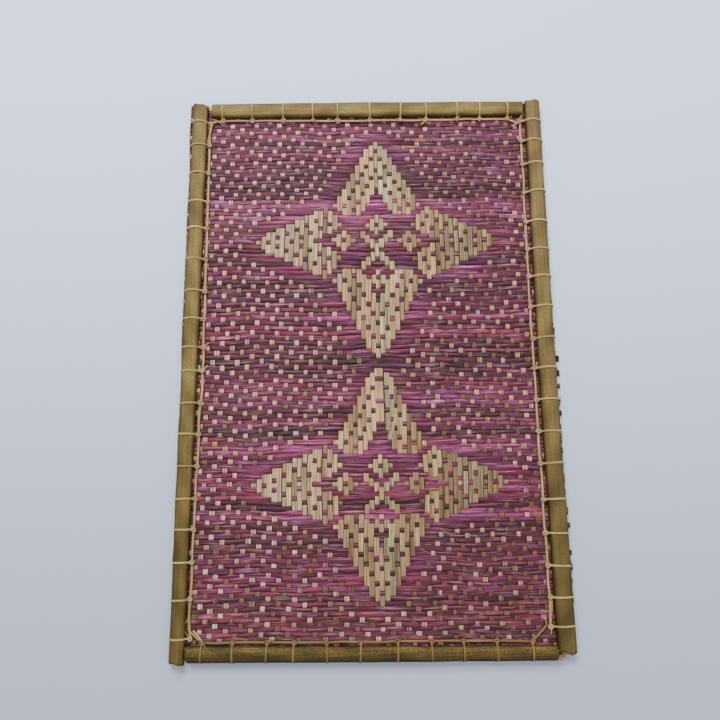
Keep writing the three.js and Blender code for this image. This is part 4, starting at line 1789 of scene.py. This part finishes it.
def lacings(frame_canes: list[Cane]) -> list[Lacing]:
    """Lists the lacing of each side, whose stitches and routes were read and are kept as points.

    Args:
        frame_canes: the left, right, back and front cane.

    Returns:
        The four lacings, in the same order.
    """
    left, right, back, front = frame_canes
    cream = (linear(172, 150, 98), linear(182, 154, 102))
    golden = (linear(120, 106, 58), linear(132, 97, 52))
    return [
        Lacing(
            Side.LEFT, left, "lacing_left",
            stitches=(
                208.4, 187.7, 162.5, 136.8, 113.1, 86, 59.3, 35.6, 11.9, -7.3, -33, -57.7, -82.4, -107.1,
                -130.3, -154.4, -181.1, -208.7,
            ),
            line_marks=(-210, -181, -100, 0, 187, 210),
            line_offsets=(135.4, 136.5, 135, 133.1, 133.7, 132.8),
            run_outs=(((-135.8, -204), (-128.6, -210.2)), ((-133.5, -203), (-126.6, -211))),
            loose=(
                LooseEnd(1.9, 1.0, (
                    (-132.2, 208, 3.6), (-133.4, 200, 3.5), (-135.0, 193, 3.5), (-134.8, 187, 3.6),
                )),
                LooseEnd(0.8, 1.0, (
                    (-135.5, -208, 3.7), (-138.6, -205.5, 4.2), (-139.6, -201, 4.4), (-138.4, -196, 4.0),
                    (-136.6, -194, 3.6),
                )),
                LooseEnd(0.9, 0.5, (
                    (-127.5, -210.5, 4.0), (-124.4, -213.6, 5.6), (-122.4, -215, 8.2), (-119.6, -217.4, 9.0),
                    (-117.6, -219.2, 9.1),
                )),
                LooseEnd(1.0, 1.0, ((-133.0, 12.5, 3.8), (-130.6, 14.2, 3.9), (-128.6, 15.4, 3.3))),
                LooseEnd(1.0, 1.0, ((-133.0, -6.8, 3.8), (-130.8, -4.8, 3.8), (-129.0, -3.0, 3.3))),
            ),
            colours=cream, mat_edge=149.7,
        ),
        Lacing(
            Side.RIGHT, right, "lacing_right",
            stitches=(
                208.4, 190.1, 168.4, 142.7, 116.6, 92.4, 68.7, 43, 16.4, -7.8, -33, -58.2, -83.4, -110.5,
                -135.7, -159.4, -182.6, -203.3,
            ),
            line_marks=(-205, -182, -100, 0, 187, 210),
            line_offsets=(132, 133.1, 132.2, 131.7, 132.4, 133),
            run_outs=(((134.5, 212.5), (128.5, 205.6)),),
            loose=(
                LooseEnd(1.4, 1.0, (
                    (134.0, 209.5, 4.4), (131.0, 206.5, 4.5), (128.0, 205.0, 4.2), (124.8, 204.4, 3.6),
                )),
                LooseEnd(1.2, 1.0, ((131.5, 209.0, 4.3), (133.2, 212.4, 4.6), (134.8, 214.8, 4.8))),
                LooseEnd(1.8, 1.0, ((132.8, -197, 3.6), (133.9, -190, 3.6), (134.2, -184, 3.6))),
                LooseEnd(1.1, 1.0, ((132.0, -203.6, 4.2), (132.6, -206.6, 4.0), (132.2, -209.0, 3.4))),
                LooseEnd(0.7, 1.0, ((129.4, -202.0, 3.9), (128.6, -198.6, 4.2), (127.0, -196.0, 3.6))),
            ),
            colours=cream, mat_edge=150.1,
        ),
        Lacing(
            Side.BACK, back, "lacing_back",
            stitches=(-123, -97.4, -70.7, -45.5, -24.3, 3.3, 29.5, 51.7, 78.4, 97.6, 121.5),
            line_marks=(-124, 3, 122),
            line_offsets=(211.2, 210.8, 211),
            run_outs=(((-123, 211.2), (-131.2, 209.8)), ((121.5, 211), (131, 206.6))),
            loose=(
                LooseEnd(1.2, 1.0, ((-131.4, 212.6, 4.0), (-128.0, 211.2, 4.2), (-124.4, 208.8, 3.6))),
                LooseEnd(1.1, 1.0, ((51.7, 210.8, 4.2), (49.6, 208.0, 4.0), (47.4, 206.4, 3.3))),
                LooseEnd(1.1, 1.0, ((78.4, 210.6, 4.3), (80.2, 213.0, 4.3), (82.4, 214.4, 3.6))),
            ),
            colours=cream, mat_edge=225.8,
        ),
        Lacing(
            Side.FRONT, front, "lacing_front",
            stitches=(-126.5, -103.8, -78.1, -58.4, -34.2, -9, 18.6, 43.3, 67, 91.7, 117.8),
            line_marks=(-127, -104, -20, 18, 92, 118),
            line_offsets=(212, 212, 213, 212.4, 212.8, 213.8),
            run_outs=(((117.8, -213.8), (129.3, -202.6)),),
            loose=(
                LooseEnd(1.1, 1.0, ((-78.1, -212.2, 4.2), (-75.0, -210.6, 4.0), (-72.6, -210.0, 3.4))),
                LooseEnd(1.0, 1.0, ((18.6, -212.4, 4.2), (20.6, -210.0, 4.0), (23.0, -209.0, 3.4))),
            ),
            colours=golden, mat_edge=224.2,
        ),
    ]


@dataclass(frozen=True)
class Softbox:
    """One soft square light: its name, its place and side in metres, and its power in watts."""

    name: str
    place: tuple[float, float, float]
    side: float
    power: float


@dataclass
class Studio:
    """The camera at the photograph's angle, a pale floor and soft light from above.

    The camera's place and lens are in millimetres, and its three axes point to the picture's right, to
    its top and away from the viewer. The floor's sizes are in metres and its colours are screen colours.
    """

    eye: tuple[float, float, float] = (-9.91, -111.55, 552.59)
    right: tuple[float, float, float] = (0.999937, -0.011000, 0.002417)
    upward: tuple[float, float, float] = (0.010296, 0.979812, 0.199658)
    forward: tuple[float, float, float] = (0.004565, 0.199620, -0.979863)
    lens: float = 35.0
    sensor: float = 36.0
    nearest: float = 0.01
    floor_reach: float = 4.0
    floor_blend: tuple[float, float] = (-0.3, 0.3)
    floor_near_shaded: tuple[float, float, float] = (168, 176, 190)
    floor_far_lit: tuple[float, float, float] = (210, 229, 255)
    floor_roughness: float = 0.9
    floor_gloss: float = 0.1
    sky_colour: tuple[float, float, float] = (0.93, 0.96, 1.0)
    sky_strength: float = 0.9
    softboxes: tuple[Softbox, ...] = (
        Softbox("high_softbox", (-0.4, 1.3, 1.5), side=1.0, power=56.0),
        Softbox("fill_softbox", (0.9, -0.5, 1.5), side=1.4, power=8.0),
    )

    def camera(self) -> None:
        """Makes the camera."""
        data = bpy.data.cameras.new("camera")
        data.sensor_fit = "HORIZONTAL"
        data.sensor_width = self.sensor
        data.lens = self.lens
        data.clip_start = self.nearest
        camera = bpy.data.objects.new("camera", data)
        bpy.context.scene.collection.objects.link(camera)
        turned = Matrix((self.right, self.upward, [-value for value in self.forward])).transposed()
        camera.matrix_world = Matrix.Translation(Vector(self.eye) * MM) @ turned.to_4x4()
        bpy.context.scene.camera = camera

    def floor(self) -> None:
        """Makes the floor: a plain pale sheet of paper, painted darker towards the front as light that falls
        off, and a little cooler at its back.
        """
        mesh = bpy.data.meshes.new("paper_floor")
        reach = self.floor_reach
        corners = [(-reach, -reach, 0.0), (reach, -reach, 0.0), (reach, reach, 0.0), (-reach, reach, 0.0)]
        mesh.from_pydata(corners, [], [(0, 1, 2, 3)])
        floor = bpy.data.objects.new("paper_floor", mesh)
        bpy.context.scene.collection.objects.link(floor)
        sheet = NodeSheet("floor_paper")
        place = sheet.node("ShaderNodeTexCoord", {}, {}, "Object")
        y = sheet.node("ShaderNodeSeparateXYZ", {}, {0: place}, 1)
        # painted falloff of light: the floor is darker at the front and lighter at the back
        near = (*linear(*self.floor_near_shaded), 1.0)
        far = (*linear(*self.floor_far_lit), 1.0)
        sheet.feed(sheet.skin.inputs["Base Color"], sheet.mixed(y.above(*self.floor_blend), near, far))
        sheet.skin.inputs["Roughness"].default_value = self.floor_roughness
        sheet.skin.inputs["Specular IOR Level"].default_value = self.floor_gloss
        mesh.materials.append(sheet.material)

    def light(self, softbox: Softbox) -> None:
        """Makes one soft square light that faces the mat.

        Args:
            softbox: its name, place, side and power.
        """
        data = bpy.data.lights.new(softbox.name, "AREA")
        data.shape = "SQUARE"
        data.size = softbox.side
        data.energy = softbox.power
        lamp = bpy.data.objects.new(softbox.name, data)
        bpy.context.scene.collection.objects.link(lamp)
        lamp.location = softbox.place
        lamp.rotation_euler = (-Vector(softbox.place)).to_track_quat("-Z", "Y").to_euler()

    def build(self) -> None:
        """Makes the floor, the lights and the pale surroundings."""
        self.floor()
        for softbox in self.softboxes:
            self.light(softbox)
        world = bpy.data.worlds.new("pale_room")
        world.use_nodes = True
        sky = next(node for node in world.node_tree.nodes if node.type == "BACKGROUND")
        sky.inputs["Color"].default_value = (*self.sky_colour, 1.0)
        sky.inputs["Strength"].default_value = self.sky_strength
        bpy.context.scene.world = world


def finish_piece(piece: bpy.types.Object, slot: str, *nodes: str) -> None:
    """Makes a piece ride on the mat and stand for its nodes, which are hidden.

    Args:
        piece: the finished piece.
        slot: the name of its material slot in the record; not used.
        nodes: the CAD nodes that it replaces.
    """
    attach(piece, "root")
    if nodes:
        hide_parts(*nodes)
    piece.data.calc_loop_triangles()
    LOG.info("%s: %d triangles", piece.name, len(piece.data.loop_triangles))


def main() -> None:
    """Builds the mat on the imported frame."""
    logging.basicConfig(level=logging.INFO, format="%(name)s %(message)s")
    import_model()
    studio = Studio()
    studio.camera()
    wefts, warps = Weave().build()
    finish_piece(wefts, "woven_straw", "mat")
    finish_piece(warps, "woven_straw", "mat")
    frame_canes = canes()
    for cane in frame_canes:
        finish_piece(cane.build(), cane.finish.slot, cane.node)
    for lacing in lacings(frame_canes):
        finish_piece(lacing.build(), "lacing", lacing.node)
    studio.build()


if __name__ == "__main__":
    main()
